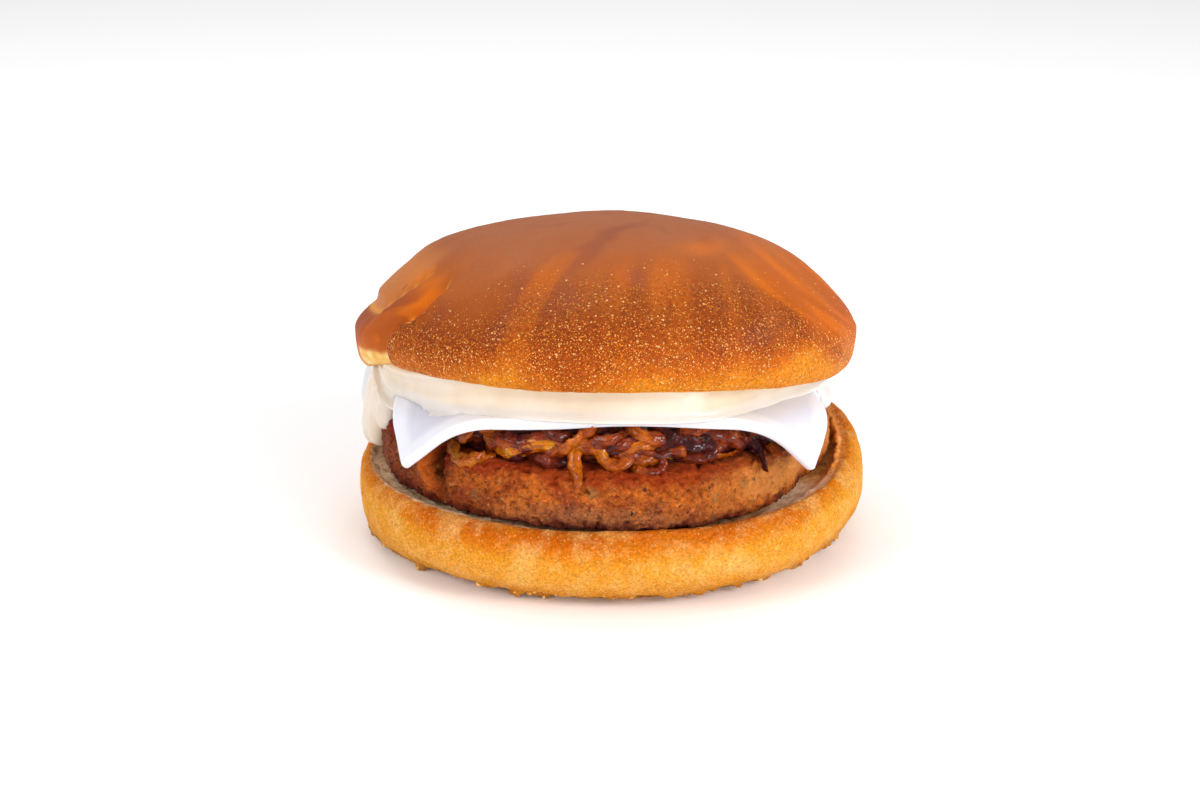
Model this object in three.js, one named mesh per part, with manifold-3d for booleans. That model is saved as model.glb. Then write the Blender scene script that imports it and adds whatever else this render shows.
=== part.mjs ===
// A burger in a round bun: a shallow lower bun, a thick vegetable patty, fried onions,
// a square slice of white cheese, mayonnaise, and a domed upper bun that is tipped back.
// Millimetres. It stands on z = 0 with its front towards -Y, and its left and right are those
// of someone who faces that front. Angles run round from the front towards the right (+X).

import * as THREE from "three";
import { mergeVertices } from "three/addons/utils/BufferGeometryUtils.js";
import Module from "manifold-3d";

const wasm = await Module();
wasm.setup();

// Driving sizes.
const BUN_RADIUS = 50.2;
const PATTY_RADIUS = 44.3;
const PATTY_THICKNESS = 11.4;
const SLICE_SIDE = 80;
const SLICE_THICKNESS = 2.2;
const GAP = 0.35; // clearance between pieces that rest on each other

// Lower bun.
const HEEL_FACE = 14.6; // height of its cut face in the middle
const HEEL_RIM = 16; // height of its rim at the front
const HEEL_DEPTH = 0.955; // front to back over side to side
const FOOT_WIDE = 46.5; // half the width of its flat underside
const FOOT_DEEP = 39.5;

// Filling, from the bottom up.
const PATTY_CENTRE = [-0.8, -0.6];
const PATTY_BOTTOM = HEEL_FACE + GAP;
const PATTY_TOP = PATTY_BOTTOM + PATTY_THICKNESS;
const CRACK_ANGLE = -45; // the split in the patty's side
const HEAP_MIDDLE = 3.9; // height of the onions over the patty's middle
const HEAP_SLOPE = -0.08; // they are piled higher at the front
const HEAP_RADIUS = 38.2; // the packed core, which the strips stand out of
const STRIP_RADIUS = 41; // where the middle lines of the strips run
const SLICE_CENTRE = [-0.5, 0.4];
const SLICE_TURN = 0.5; // degrees, seen from above
const MAYO_RADIUS = 40.4;

// Upper bun, in a frame of its own that is tipped back.
const CROWN_RADIUS = 49.3;
const CROWN_RISE = 23.2; // from its widest ring to its top
const CROWN_SKIRT = 5; // from its widest ring down to its cut face
const CROWN_TILT = 10.5;
const CROWN_CENTRE = [-1.2, 0, 39.6];
const CROWN_HOLLOW = 4.4; // how far the filling has pressed its cut face in at the back
const FOLD_ANGLE = -52; // the deep fold in its left front
const DOME_RINGS = [88, 78, 68, 58, 48, 38, 28, 18, 9]; // degrees down from its top

const rad = THREE.MathUtils.degToRad;
const lerp = THREE.MathUtils.lerp;
const smooth = THREE.MathUtils.smoothstep;
const angleOf = (x, y) => THREE.MathUtils.radToDeg(Math.atan2(x, -y));

// A hill of height 1 round the angle `at`, `width` degrees wide to each side.
function hill(angle, at, width) {
  const away = ((((angle - at) % 360) + 540) % 360) - 180;
  return Math.exp(-((away / width) ** 2));
}

// A repeatable uneven line round a circle, within about 1 either way.
function uneven(angle, seed, waves = 5) {
  let sum = 0;
  for (let k = 1; k <= waves; k++) {
    sum += Math.sin(rad(angle) * (k + 1) + seed * (2.3 * k + 1)) / Math.sqrt(k + 1);
  }
  return sum / Math.sqrt(waves);
}

// Seeded numbers from 0 to 1, the same in every run.
function randomFrom(seed) {
  let state = seed;
  return () => {
    state = (state * 1664525 + 1013904223) % 4294967296;
    return state / 4294967296;
  };
}

const place = (radius, angle, z, centre = [0, 0]) =>
  new THREE.Vector3(
    centre[0] + radius * Math.sin(rad(angle)),
    centre[1] - radius * Math.cos(rad(angle)),
    z,
  );

// Equal steps round the circle, with more of them near the angles in `near`.
function anglesRound(steps, near = []) {
  const angles = [];
  for (let i = 0; i < steps; i++) angles.push(-180 + (360 * i) / steps);
  for (const at of near) {
    for (const step of [-3, -1, 1, 3]) angles.push(at + step);
  }
  return angles.sort((a, b) => a - b).filter((a, i, all) => i === 0 || a - all[i - 1] > 0.8);
}

// A geometry from positions and faces, turned so that its faces point outwards.
function closed(positions, faces) {
  let volume = 0;
  const at = (i) => new THREE.Vector3().fromArray(positions, 3 * i);
  for (let i = 0; i < faces.length; i += 3) {
    volume += at(faces[i]).dot(at(faces[i + 1]).cross(at(faces[i + 2])));
  }
  const geometry = new THREE.BufferGeometry();
  geometry.setAttribute("position", new THREE.Float32BufferAttribute(positions, 3));
  geometry.setIndex(volume < 0 ? faces.slice().reverse() : faces);
  return geometry;
}

// Joins rings into one closed skin. The first and last ring are single points.
function skin(rings) {
  const positions = [];
  const starts = [];
  for (const ring of rings) {
    starts.push(positions.length / 3);
    for (const p of ring) positions.push(p.x, p.y, p.z);
  }
  const faces = [];
  const corner = (k, i) => starts[k] + (rings[k].length > 1 ? i : 0);
  for (let k = 0; k + 1 < rings.length; k++) {
    const count = Math.max(rings[k].length, rings[k + 1].length);
    for (let i = 0; i < count; i++) {
      const j = (i + 1) % count;
      if (rings[k].length > 1) faces.push(corner(k, i), corner(k, j), corner(k + 1, j));
      if (rings[k + 1].length > 1) faces.push(corner(k, i), corner(k + 1, j), corner(k + 1, i));
    }
  }
  return closed(positions, faces);
}

// A skin from a profile: profile(angle) gives [radius, z] pairs from the middle of the
// underside, out round the edge, to the middle of the top.
function turned(profile, angles, centre = [0, 0]) {
  const columns = angles.map(profile);
  const last = columns[0].length - 1;
  const rings = columns[0].map((pair, k) => {
    if (k === 0 || k === last) return [place(0, 0, pair[1], centre)];
    return angles.map((angle, i) => place(columns[i][k][0], angle, columns[i][k][1], centre));
  });
  return skin(rings);
}

function toManifold(geometry) {
  const bare = geometry.clone();
  bare.deleteAttribute("normal");
  bare.deleteAttribute("uv");
  const merged = mergeVertices(bare, 1e-4);
  return new wasm.Manifold(
    new wasm.Mesh({
      numProp: 3,
      vertProperties: merged.attributes.position.array,
      triVerts: new Uint32Array(merged.index.array),
    }),
  );
}

// The largest body of a solid as a geometry: sealed hollows are filled and scraps dropped.
function toGeometry(manifold) {
  const bodies = manifold.decompose().sort((a, b) => b.volume() - a.volume());
  const { vertProperties, triVerts } = bodies[0].getMesh();
  const geometry = new THREE.BufferGeometry();
  geometry.setAttribute("position", new THREE.BufferAttribute(new Float32Array(vertProperties), 3));
  geometry.setIndex(new THREE.BufferAttribute(new Uint32Array(triVerts), 1));
  return geometry;
}

// Lower bun: a flat foot, a bulging side, and a rim that stands above the cut face, highest at
// the right.
function heelRim(angle) {
  const right = 3.4 * hill(angle, 100, 34);
  const left = 0.8 * hill(angle, -88, 20);
  return HEEL_RIM + right - left + 0.3 * uneven(angle, 3, 7);
}

// Its outline seen from above: a little squarer than a circle, and less deep than wide.
function heelOutline(angle) {
  const squareness = 2.2;
  const across = Math.abs(Math.sin(rad(angle))) ** squareness;
  const along = (Math.abs(Math.cos(rad(angle))) / HEEL_DEPTH) ** squareness;
  return (BUN_RADIUS / (across + along) ** (1 / squareness)) * (1 + 0.005 * uneven(angle, 1));
}

// The flat underside, which is fuller at the left than at the right.
function heelFoot(angle) {
  const across = Math.sin(rad(angle)) / FOOT_WIDE;
  const along = Math.cos(rad(angle)) / FOOT_DEEP;
  const left = 2.2 * hill(angle, -80, 22) - 1.2 * hill(angle, -42, 18);
  return 1 / Math.hypot(across, along) + left - 1.5 * hill(angle, 60, 30);
}

// The side bulges most a little higher up at the right.
function heelProfile(angle, lift = 0) {
  const outer = heelOutline(angle);
  const foot = heelFoot(angle);
  const rim = heelRim(angle) + lift;
  const face = HEEL_FACE + lift;
  const crest = 0.94 + 0.018 * hill(angle, -78, 40);
  const ragged = Math.max(0, 0.9 * uneven(angle, 5, 12));
  const raised = 1.8 * hill(angle, 72, 34);
  return [
    [0, 0],
    [0.5 * foot, 0],
    [0.95 * foot, 0],
    [foot + ragged, 0.3 + 0.7 * ragged],
    [lerp(foot, outer, 0.55), 2.7 + 0.6 * ragged + 0.4 * raised],
    [lerp(foot, outer, 0.85), 5.6 + 0.8 * raised],
    [outer, 9 + raised],
    [0.997 * outer, 0.5 * (rim + 9.4 + raised)],
    [(crest + 0.03) * outer, rim - 1.1],
    [crest * outer, rim],
    [(crest - 0.028) * outer, rim - 0.5],
    [0.885 * outer, lerp(rim, face, 0.7)],
    [0.84 * outer, face + 0.1],
    [0.45 * outer, face],
    [0, face],
  ];
}

// Patty: a thick disc with soft edges and one split in its side. `grow` swells it all round.
function pattyProfile(angle, grow = 0) {
  const crack = 2.6 * hill(angle, CRACK_ANGLE, 1.8);
  const spread = 1.5 * hill(angle, 20, 16) + 1.5 * hill(angle, -62, 22);
  const edge = PATTY_RADIUS * (1 + 0.008 * uneven(angle, 7, 8)) + spread + grow;
  const bottom = PATTY_BOTTOM - grow;
  const height = PATTY_THICKNESS + 2 * grow;
  const at = (share, level, cut = 0) => [share * edge - cut * crack, bottom + level * height];
  return [
    [0, bottom],
    at(0.84, 0),
    at(0.955, 0.04),
    at(0.99, 0.17, 0.3),
    at(1, 0.45, 0.8),
    at(0.997, 0.72, 1),
    at(0.98, 0.89, 1),
    at(0.945, 0.98, 0.9),
    at(0.87, 1, 0.2),
    at(0.45, 1),
    [0, bottom + height],
  ];
}

// Height of the heap's top, which is where the slice lies.
const heapTop = (y) => PATTY_TOP + GAP + HEAP_MIDDLE + HEAP_SLOPE * y;

// How far out the slice lies flat in one direction, and how it bends down beyond that: the
// radius of the bend and its steepest slope. Its right front corner folds more sharply, and its
// sides sag where the heap ends.
function sliceBend(angle) {
  const left = hill(angle, -48, 13);
  const right = hill(angle, 44, 13);
  const side = hill(angle, 74, 18) + 0.6 * hill(angle, -76, 15);
  const back = hill(angle, 138, 31) + hill(angle, -138, 31);
  return {
    rest: 45.5 - 4.2 * left - 2.9 * right - 10 * side - 6 * back,
    radius: 9.5 - 2.5 * right - 4 * side - 4.5 * back,
    slope: rad(50 + 18 * right + 5 * back + 10 * side),
  };
}

// Where a point of the flat slice goes once its overhang has bent down. `up` is how far above
// the slice's underside the point is.
function draped(u, v, up) {
  const x = SLICE_CENTRE[0] + u * Math.cos(rad(SLICE_TURN)) - v * Math.sin(rad(SLICE_TURN));
  const y = SLICE_CENTRE[1] + u * Math.sin(rad(SLICE_TURN)) + v * Math.cos(rad(SLICE_TURN));
  const reach = Math.hypot(x, y);
  const bend = sliceBend(angleOf(x, y));
  const over = Math.max(0, reach - bend.rest);
  const slope = Math.min(over / bend.radius, bend.slope);
  const straight = Math.max(0, over - bend.radius * slope);
  const out = bend.radius * Math.sin(slope) + straight * Math.cos(slope);
  const down = bend.radius * (1 - Math.cos(slope)) + straight * Math.sin(slope);
  const radius = Math.min(reach, bend.rest) + out + up * Math.sin(slope);
  const share = reach > 0 ? radius / reach : 1;
  const wave = 0.3 * Math.sin(0.16 * x + 1) * smooth(-y, 0, 40);
  const lying = heapTop(y * Math.min(1, bend.rest / Math.max(reach, 1)));
  return new THREE.Vector3(x * share, y * share, lying - down + wave + up * Math.cos(slope));
}

// The slice as a closed sheet. `below` and `above` thicken it, `out` widens it, and `drop`
// carries its underside straight down.
function sliceGeometry({ below = 0, above = 0, out = 0, drop = 0, steps = 16 } = {}) {
  const half = SLICE_SIDE / 2 + out;
  const positions = [];
  const faces = [];
  const side = steps + 1;
  for (const [up, fall] of [[-below, drop], [SLICE_THICKNESS + above, 0]]) {
    for (let i = 0; i < side; i++) {
      for (let j = 0; j < side; j++) {
        const u = lerp(-half, half, i / steps);
        const v = lerp(-half, half, j / steps);
        const rounding = 1 - 0.012 * ((u / half) * (v / half)) ** 8;
        const p = draped(u * rounding, v * rounding, up);
        positions.push(p.x, p.y, p.z - fall);
      }
    }
  }
  const index = (layer, i, j) => layer * side * side + i * side + j;
  const quad = (a, b, c, d) => faces.push(a, b, c, a, c, d);
  for (let i = 0; i < steps; i++) {
    for (let j = 0; j < steps; j++) {
      const under = [index(0, i, j), index(0, i, j + 1), index(0, i + 1, j + 1), index(0, i + 1, j)];
      const over = [index(1, i, j), index(1, i + 1, j), index(1, i + 1, j + 1), index(1, i, j + 1)];
      // Each square is split along the fold of its corner, not across it.
      const shift = i < steps / 2 === j < steps / 2 ? 1 : 0;
      for (const corners of [under, over]) {
        quad(...corners.slice(shift), ...corners.slice(0, shift));
      }
    }
    quad(index(0, i, 0), index(0, i + 1, 0), index(1, i + 1, 0), index(1, i, 0));
    quad(index(0, i + 1, steps), index(0, i, steps), index(1, i, steps), index(1, i + 1, steps));
    quad(index(0, 0, i + 1), index(0, 0, i), index(1, 0, i), index(1, 0, i + 1));
    quad(index(0, steps, i), index(0, steps, i + 1), index(1, steps, i + 1), index(1, steps, i));
  }
  return closed(positions, faces);
}

// Upper bun, in its own frame: widest ring at z = 0, cut face below, dome above. The fold is a
// valley that climbs from the rim, gentle on its left side and steep on its right.
function foldDepth(angle, radius) {
  const line = FOLD_ANGLE - 5 * smooth(radius, 42, 49) + 6 * smooth(44 - radius, 2, 16);
  const side = angle - line;
  const valley = Math.exp(-((side / (side < 0 ? 7 : 1.6)) ** 2));
  const second = 0.45 * hill(angle, -62 - 27 * smooth(radius, 28, 47), 5);
  const furrows = [72, 90, 150, -140].reduce((sum, at) => sum + 0.12 * hill(angle, at, 6), 0);
  return 3.2 * smooth(radius, 24, 47) * (valley + second + furrows);
}

// Its cut face, which the filling has pressed in at the back.
function crownUnder(angle, radius, skirt) {
  const back = CROWN_HOLLOW * smooth(-radius * Math.cos(rad(angle)), -14, 38);
  return -lerp(CROWN_SKIRT, skirt, smooth(radius, 38, 45)) + back;
}

// `lower` swells it sideways and downwards. It is broader in the shoulder at its left and
// right, and its skirt hangs lowest at the far left.
function crownProfile(angle, lower = 0) {
  const outer = CROWN_RADIUS * (1 + 0.005 * uneven(angle, 11)) + lower;
  const lean = 1.3 * hill(angle, 62, 34) - 1.6 * hill(angle, -56, 24) + 2.4 * hill(angle, -96, 22);
  const skirt = CROWN_SKIRT + lean + 0.25 * uneven(angle, 13, 7) + lower;
  const fold = foldDepth(angle, outer);
  const dome = DOME_RINGS.map((polar) => {
    const slim = 1 - 0.035 * hill(polar, 62, 17);
    const left = 1.7 * hill(angle, -80, 32) * hill(polar, 43, 13);
    const right = 0.8 * hill(angle, 85, 35) * hill(polar, 55, 12);
    const radius = outer * slim * Math.sin(rad(polar)) + left + right;
    const sunk = foldDepth(angle, radius);
    return [
      radius - sunk * Math.sin(rad(polar)),
      (CROWN_RISE * slim - sunk) * Math.cos(rad(polar)),
    ];
  });
  return [
    [0, crownUnder(0, 0, skirt) - lower],
    [0.4 * outer, crownUnder(angle, 0.4 * outer, skirt) - lower],
    [0.78 * outer, crownUnder(angle, 0.78 * outer, skirt) - lower],
    [0.905 * outer - 0.6 * fold, crownUnder(angle, 0.9 * outer, skirt) - lower],
    [0.95 * outer - fold, -skirt],
    [0.982 * outer - fold, -0.62 * skirt],
    ...dome,
    [0, CROWN_RISE],
  ];
}

// Where mayonnaise has run down past the filling, at the left and right.
const RIGHT_DRIP = 78;
const DRIPS = [
  { angle: -101, radius: 49.3, top: 33.5, bottom: 19.5, width: 11.5, depth: 6.4 },
  { angle: -90, radius: 47.4, top: 34, bottom: 15.6, width: 10.5, depth: 6.6 },
  { angle: -79, radius: 45.6, top: 34.5, bottom: 23.6, width: 7.5, depth: 4.8 },
  { angle: RIGHT_DRIP, radius: 42, top: 33.5, bottom: 26.4, width: 9, depth: 5 },
];

const DRIP_SIDES = 8;
const DRIP_LEAN = 4; // how much further in a drip starts than it ends

// Onion strips that show at the front: width in mm, and the way each one runs, as pairs of the
// place across the front and the height over the patty's top. A `loose` one ends in the open.
const FRONT_STRIPS = [
  { width: 2.7, loose: true, way: [[-13, 8.2], [-5.3, 9], [-3.8, 7.6], [-7, 3.4], [-6.2, -2]] },
  { width: 2.7, way: [[-5, 6.4], [-2.6, 3.4], [-0.6, 1.2], [2.4, 1.7], [4.6, 5.8]] },
  { width: 3.4, loose: true, way: [[2.2, 7.6], [5, 5.9], [9.4, 4.4]] },
  { width: 1.7, way: [[2.6, 1], [5, 0.2], [8.4, 0], [8.8, 1.6], [3.4, 3.2]] },
  { width: 2.2, loose: true, way: [[10.2, 6.4], [15, 6.4], [17.8, 6.5], [19, 7.8]] },
  { width: 2, way: [[7.3, 7.3], [11.4, 8]] },
  { width: 2.8, loose: true, way: [[14.4, 6], [18.6, 4.6], [22.4, 3], [23.8, 1.4]] },
  { width: 2.5, way: [[9.3, 4.1], [15.8, 3.4], [21, 0.8]] },
  { width: 2.8, loose: true, way: [[22.8, 2.2], [26.4, 1.2], [28.4, -1.8]] },
  { width: 2.5, way: [[22.4, 5.6], [27.2, 3], [30.4, 0]] },
  { width: 2.4, loose: true, way: [[27.6, 1.6], [29.8, 0.6], [31.2, -0.8]] },
  { width: 2.8, loose: true, way: [[-23.6, 6], [-26.4, 4.4], [-28.4, 2]] },
  { width: 3, way: [[-30.4, 0.8], [-28.6, -0.4], [-23.8, 0.2], [-22, 1]] },
  { width: 3.4, way: [[-24.6, 3.4], [-20.5, 4], [-16.6, 4], [-11.4, 5.8], [-8.8, 4], [-10.4, 1.8]] },
  { width: 3.2, way: [[-21, 5.2], [-18.6, 2.2], [-15.4, 1.4]] },
  { width: 3.3, loose: true, way: [[-17.6, 0.6], [-15.4, 3], [-9.4, 3.8]] },
  { width: 2.9, way: [[-15, 0.5], [-11.6, 0.7], [-7.8, 1.2]] },
  { width: 2.4, way: [[-16.6, 7.8], [-13.4, 8.6], [-12.4, 7.2], [-6.4, 8]] },
  { width: 2.6, way: [[-22, 6], [-15.6, 6.6]] },
];

const STRIP_THICKNESS = 1.7;
const STRIP_STEP = 3; // length of one facet along a strip
const STRIP_SIDES = 5;
const STRIP_TAPER = 0.55; // size of its last ring over its full size
const STRIP_TIP = 0.5; // how far its point stands out beyond that ring
const SUNK_END = 2.5; // how far an end is tucked into the heap

// The middle line of a strip lies on the heap's flank, and lower down on the patty's shoulder.
// `aside` is how far it is from the middle of the front.
const flankRadius = (height, aside) =>
  STRIP_RADIUS + 1.6 * Math.min(1, Math.abs(aside) / 30) ** 2 - 0.22 * height +
  1.3 * Math.max(0, 1.2 - height);

// A strip along a smooth curve: flat rings that taper to a point at both ends.
function stripAlong(points, width) {
  const curve = new THREE.CatmullRomCurve3(points);
  const steps = Math.max(3, Math.round(curve.getLength() / STRIP_STEP));
  const tipAt = (share, out) =>
    curve.getPointAt(share).addScaledVector(curve.getTangentAt(share), out);
  const rings = [[tipAt(0, -STRIP_TIP)]];
  for (let i = 0; i <= steps; i++) {
    const centre = curve.getPointAt(i / steps);
    const along = curve.getTangentAt(i / steps);
    const outward = new THREE.Vector3(centre.x, centre.y, 0).normalize();
    const across = new THREE.Vector3().crossVectors(along, outward).normalize();
    const proud = new THREE.Vector3().crossVectors(across, along);
    const full = i === 0 || i === steps ? STRIP_TAPER : 1;
    const ring = [];
    for (let k = 0; k < STRIP_SIDES; k++) {
      const turn = (2 * Math.PI * (k + 0.5)) / STRIP_SIDES;
      ring.push(
        centre
          .clone()
          .addScaledVector(across, 0.5 * width * full * Math.cos(turn))
          .addScaledVector(proud, 0.5 * STRIP_THICKNESS * full * Math.sin(turn)),
      );
    }
    rings.push(ring);
  }
  rings.push([tipAt(1, STRIP_TIP)]);
  return skin(rings);
}

function frontStrip({ width, way, loose = false }) {
  const points = way.map(([x, height], i) => {
    const sunk = i === 0 || (i === way.length - 1 && !loose) ? SUNK_END : 0;
    const radius = flankRadius(height, x) - sunk;
    return new THREE.Vector3(x, -Math.sqrt(radius ** 2 - x ** 2), PATTY_TOP + height);
  });
  return stripAlong(points, width);
}

// Round the sides and the back the strips lie as they fell, lower where the heap is lower.
function fallenStrips() {
  const random = randomFrom(17);
  const strips = [];
  for (let angle = 62; angle < 300; angle += 10.5) {
    const start = angle + 6 * random();
    const room = heapTop(-STRIP_RADIUS * Math.cos(rad(start))) - PATTY_TOP;
    const span = 9 + 9 * random();
    const high = room * (0.35 + 0.5 * random());
    const open = DRIPS.every((each) => hill(start + 0.5 * span, each.angle, 24) < 0.4);
    const low = random() < 0.4 && open ? -1.5 - 2 * random() : 0.4;
    const points = [0, 0.35, 0.7, 1].map((share, i) => {
      const height = lerp(high, low, share ** 1.5) + 0.7 * (random() - 0.5);
      const sunk = i === 0 || (share === 1 && low > 0) ? SUNK_END : 0;
      const hang = 1.3 * Math.max(0, 1.2 - height);
      const tucked = 3 * hill(start + span * share, RIGHT_DRIP, 15);
      return place(STRIP_RADIUS - sunk + hang - tucked, start + span * share, PATTY_TOP + height);
    });
    strips.push(stripAlong(points, 2.2 + 1.1 * random()));
  }
  return strips;
}

// The packed core, taller than the heap: the slice that lies on it cuts it off.
function coreProfile(angle) {
  const full = 2 * (hill(angle, -42, 20) + hill(angle, 42, 20));
  const outer = HEAP_RADIUS + full + 0.6 * uneven(angle, 19, 12);
  const bottom = PATTY_TOP + GAP;
  const top = PATTY_TOP + 12;
  return [
    [0, bottom],
    [outer, bottom],
    [outer + 0.8, bottom + 2],
    [outer, top],
    [0, top],
  ];
}

function onionGeometry(patty) {
  const strips = [...FRONT_STRIPS.map(frontStrip), ...fallenStrips()];
  const heap = strips
    .map(toManifold)
    .reduce((sum, strip) => sum.add(strip), toManifold(turned(coreProfile, anglesRound(36))));
  const above = sliceGeometry({ below: 1.3 * GAP, above: 14, out: SLICE_SIDE / 8, steps: 20 });
  const slice = toManifold(above);
  return toGeometry(heap.subtract(slice).subtract(patty));
}

// Mayonnaise: a thick layer pressed flat between the slice and the upper bun, with lobes that
// swell out at the front, and the drips.
function mayoProfile(angle) {
  const lobes = 0.9 * uneven(angle, 23, 9) + 0.6 * hill(angle, 3, 14) + 0.5 * hill(angle, -18, 9);
  const left = hill(angle, -64, 20);
  const front = 3.8 * hill(angle, -40, 14) + 2.2 * hill(angle, 24, 14);
  const spread = 5 * hill(angle, -96, 20) + 4.6 * left + 1.5 * hill(angle, 70, 20) + front;
  const y = -MAYO_RADIUS * Math.cos(rad(angle));
  const low = heapTop(y) + SLICE_THICKNESS - 1 - 3 * left;
  const outer = MAYO_RADIUS + lobes + spread;
  return [
    [0, heapTop(0)],
    [outer - 1.2, low],
    [outer, low + 2],
    [outer + 0.9, low + 4],
    [outer, low + 6.5],
    [outer - 2, low + 14],
    [0, heapTop(0) + 14],
  ];
}

// One drip: round rings that narrow towards its lower end, from under the upper bun.
function drip({ angle, radius, top, bottom, width, depth }) {
  const across = place(1, angle + 90, 0);
  const outward = place(1, angle, 0);
  const ringAt = (share) => {
    const round = Math.sqrt(1 - (Math.max(0, share - 0.7) / 0.3) ** 2);
    const size = round * (1 - 0.15 * Math.sin(3 * share));
    const centre = place(radius - DRIP_LEAN * (1 - share) ** 3, angle, lerp(top, bottom, share));
    return Array.from({ length: DRIP_SIDES }, (_, k) => {
      const turn = (2 * Math.PI * k) / DRIP_SIDES;
      return centre
        .clone()
        .addScaledVector(across, 0.5 * width * size * Math.cos(turn))
        .addScaledVector(outward, 0.5 * depth * size * Math.sin(turn));
    });
  };
  const start = place(radius - DRIP_LEAN, angle, top);
  const tip = place(radius, angle, bottom);
  return skin([[start], ...[0, 0.25, 0.5, 0.7, 0.85, 0.95].map(ringAt), [tip]]);
}

function mayoGeometry(patty, crown) {
  const layer = toManifold(turned(mayoProfile, anglesRound(48)));
  const slice = toManifold(sliceGeometry({ below: GAP, above: GAP, out: GAP, drop: 8 }));
  const heel = toManifold(turned((angle) => heelProfile(angle, GAP), anglesRound(60)));
  return toGeometry(
    DRIPS.map((each) => toManifold(drip(each)))
      .reduce((sum, each) => sum.add(each), layer)
      .subtract(slice)
      .subtract(crown)
      .subtract(patty)
      .subtract(heel),
  );
}

// The soft crumb of the upper bun gives way where the edge of the slice lies under its rim.
function crownGeometry(matrix) {
  const whole = toManifold(turned((angle) => crownProfile(angle), anglesRound(64, [FOLD_ANGLE - 4])));
  const slice = sliceGeometry({ above: GAP, out: GAP }).applyMatrix4(matrix.clone().invert());
  return toGeometry(whole.subtract(toManifold(slice)));
}

function mesh(name, geometry, color, roughness) {
  const made = new THREE.Mesh(
    geometry,
    new THREE.MeshStandardMaterial({ color, roughness, metalness: 0 }),
  );
  made.name = name;
  return made;
}

function tipped(object) {
  object.rotation.x = -rad(CROWN_TILT);
  object.position.fromArray(CROWN_CENTRE);
  object.updateMatrix();
  return object;
}

const pattyAngles = anglesRound(44, [CRACK_ANGLE]);
const pattyWithGap = toManifold(turned((a) => pattyProfile(a, GAP), pattyAngles, PATTY_CENTRE));
const crownMatrix = tipped(new THREE.Object3D()).matrix;
const crownWithGap = toManifold(
  turned((a) => crownProfile(a, GAP), anglesRound(44)).applyMatrix4(crownMatrix),
);

const burger = new THREE.Group();
burger.add(
  mesh("bun_heel", turned((a) => heelProfile(a), anglesRound(60)), "#e6a454", 0.8),
  mesh("patty", turned((a) => pattyProfile(a), pattyAngles, PATTY_CENTRE), "#8f4a25", 0.7),
  mesh("onions", onionGeometry(pattyWithGap), "#6b3416", 0.3),
  mesh("cheese_slice", sliceGeometry(), "#eef0f8", 0.4),
  mesh("mayonnaise", mayoGeometry(pattyWithGap, crownWithGap), "#f8ecd6", 0.3),
  tipped(mesh("bun_crown", crownGeometry(crownMatrix), "#b8662e", 0.6)),
);

// The origin is on the ground under the middle of the whole burger.
const middle = new THREE.Box3().setFromObject(burger, true).getCenter(new THREE.Vector3());
for (const piece of burger.children) {
  piece.position.x -= middle.x;
  piece.position.y -= middle.y;
}

export default burger;
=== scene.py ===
# %% [markdown]
# # A burger with fried onions and white cheese
#
# The real thing is a stack: a shallow lower bun, a thick patty of mashed vegetables, a heap of
# fried onion strips, one square slice of white cheese whose corners hang down, mayonnaise that
# has been pressed out to the rim, and a domed upper bun that is tipped back a little.
#
# The stack comes as six plain solids in metres. Each of them is replaced here by a mesh of the
# same form with the surface of the real food. The shapes are worked out in millimetres, because
# food is thought of in millimetres, and turned to metres at the end.

import math

import bpy
import numpy as np
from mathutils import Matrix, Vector, noise


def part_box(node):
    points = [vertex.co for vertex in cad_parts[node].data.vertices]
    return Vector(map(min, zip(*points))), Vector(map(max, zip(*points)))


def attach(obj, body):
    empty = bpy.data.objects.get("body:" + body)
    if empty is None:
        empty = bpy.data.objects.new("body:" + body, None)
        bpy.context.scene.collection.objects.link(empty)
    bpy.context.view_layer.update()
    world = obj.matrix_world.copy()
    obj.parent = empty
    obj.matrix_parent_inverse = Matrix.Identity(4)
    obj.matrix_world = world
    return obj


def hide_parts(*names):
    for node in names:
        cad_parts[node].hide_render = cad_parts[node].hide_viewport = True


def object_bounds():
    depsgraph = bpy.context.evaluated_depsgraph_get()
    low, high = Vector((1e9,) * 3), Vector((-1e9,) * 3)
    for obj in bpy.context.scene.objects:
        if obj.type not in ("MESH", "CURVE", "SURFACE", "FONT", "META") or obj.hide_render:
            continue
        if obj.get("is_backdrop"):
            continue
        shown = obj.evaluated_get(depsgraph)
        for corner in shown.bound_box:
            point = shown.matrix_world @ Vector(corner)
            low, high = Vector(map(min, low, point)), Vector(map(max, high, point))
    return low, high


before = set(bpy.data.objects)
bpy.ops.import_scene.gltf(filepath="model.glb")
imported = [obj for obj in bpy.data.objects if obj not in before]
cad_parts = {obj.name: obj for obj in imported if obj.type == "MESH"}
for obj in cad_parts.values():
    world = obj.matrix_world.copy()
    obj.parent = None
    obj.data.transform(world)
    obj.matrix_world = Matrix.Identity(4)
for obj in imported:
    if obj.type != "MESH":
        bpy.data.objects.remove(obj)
cad_box = [list(corner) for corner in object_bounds()]
MM = 0.001
print("solids:", ", ".join(sorted(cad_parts)))

# %% [markdown]
# ## Small helpers
#
# Colours are written as sRGB hex values, as a maker would pick them from a swatch, but shaders
# work in linear light. One function turns them. A second one adds a node to any tree, with its
# settings, its values and its links in one call, so that each material below reads like a recipe.


# %% Colour and node helpers
def linear(hex_colour):
    parts = [int(hex_colour[i : i + 2], 16) / 255 for i in (1, 3, 5)]
    return [c / 12.92 if c <= 0.04045 else ((c + 0.055) / 1.055) ** 2.4 for c in parts] + [1]


def link(tree, source, target):
    """Links an output to an input. A node stands for its first output."""
    tree.links.new(source.outputs[0] if isinstance(source, bpy.types.Node) else source, target)


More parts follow.
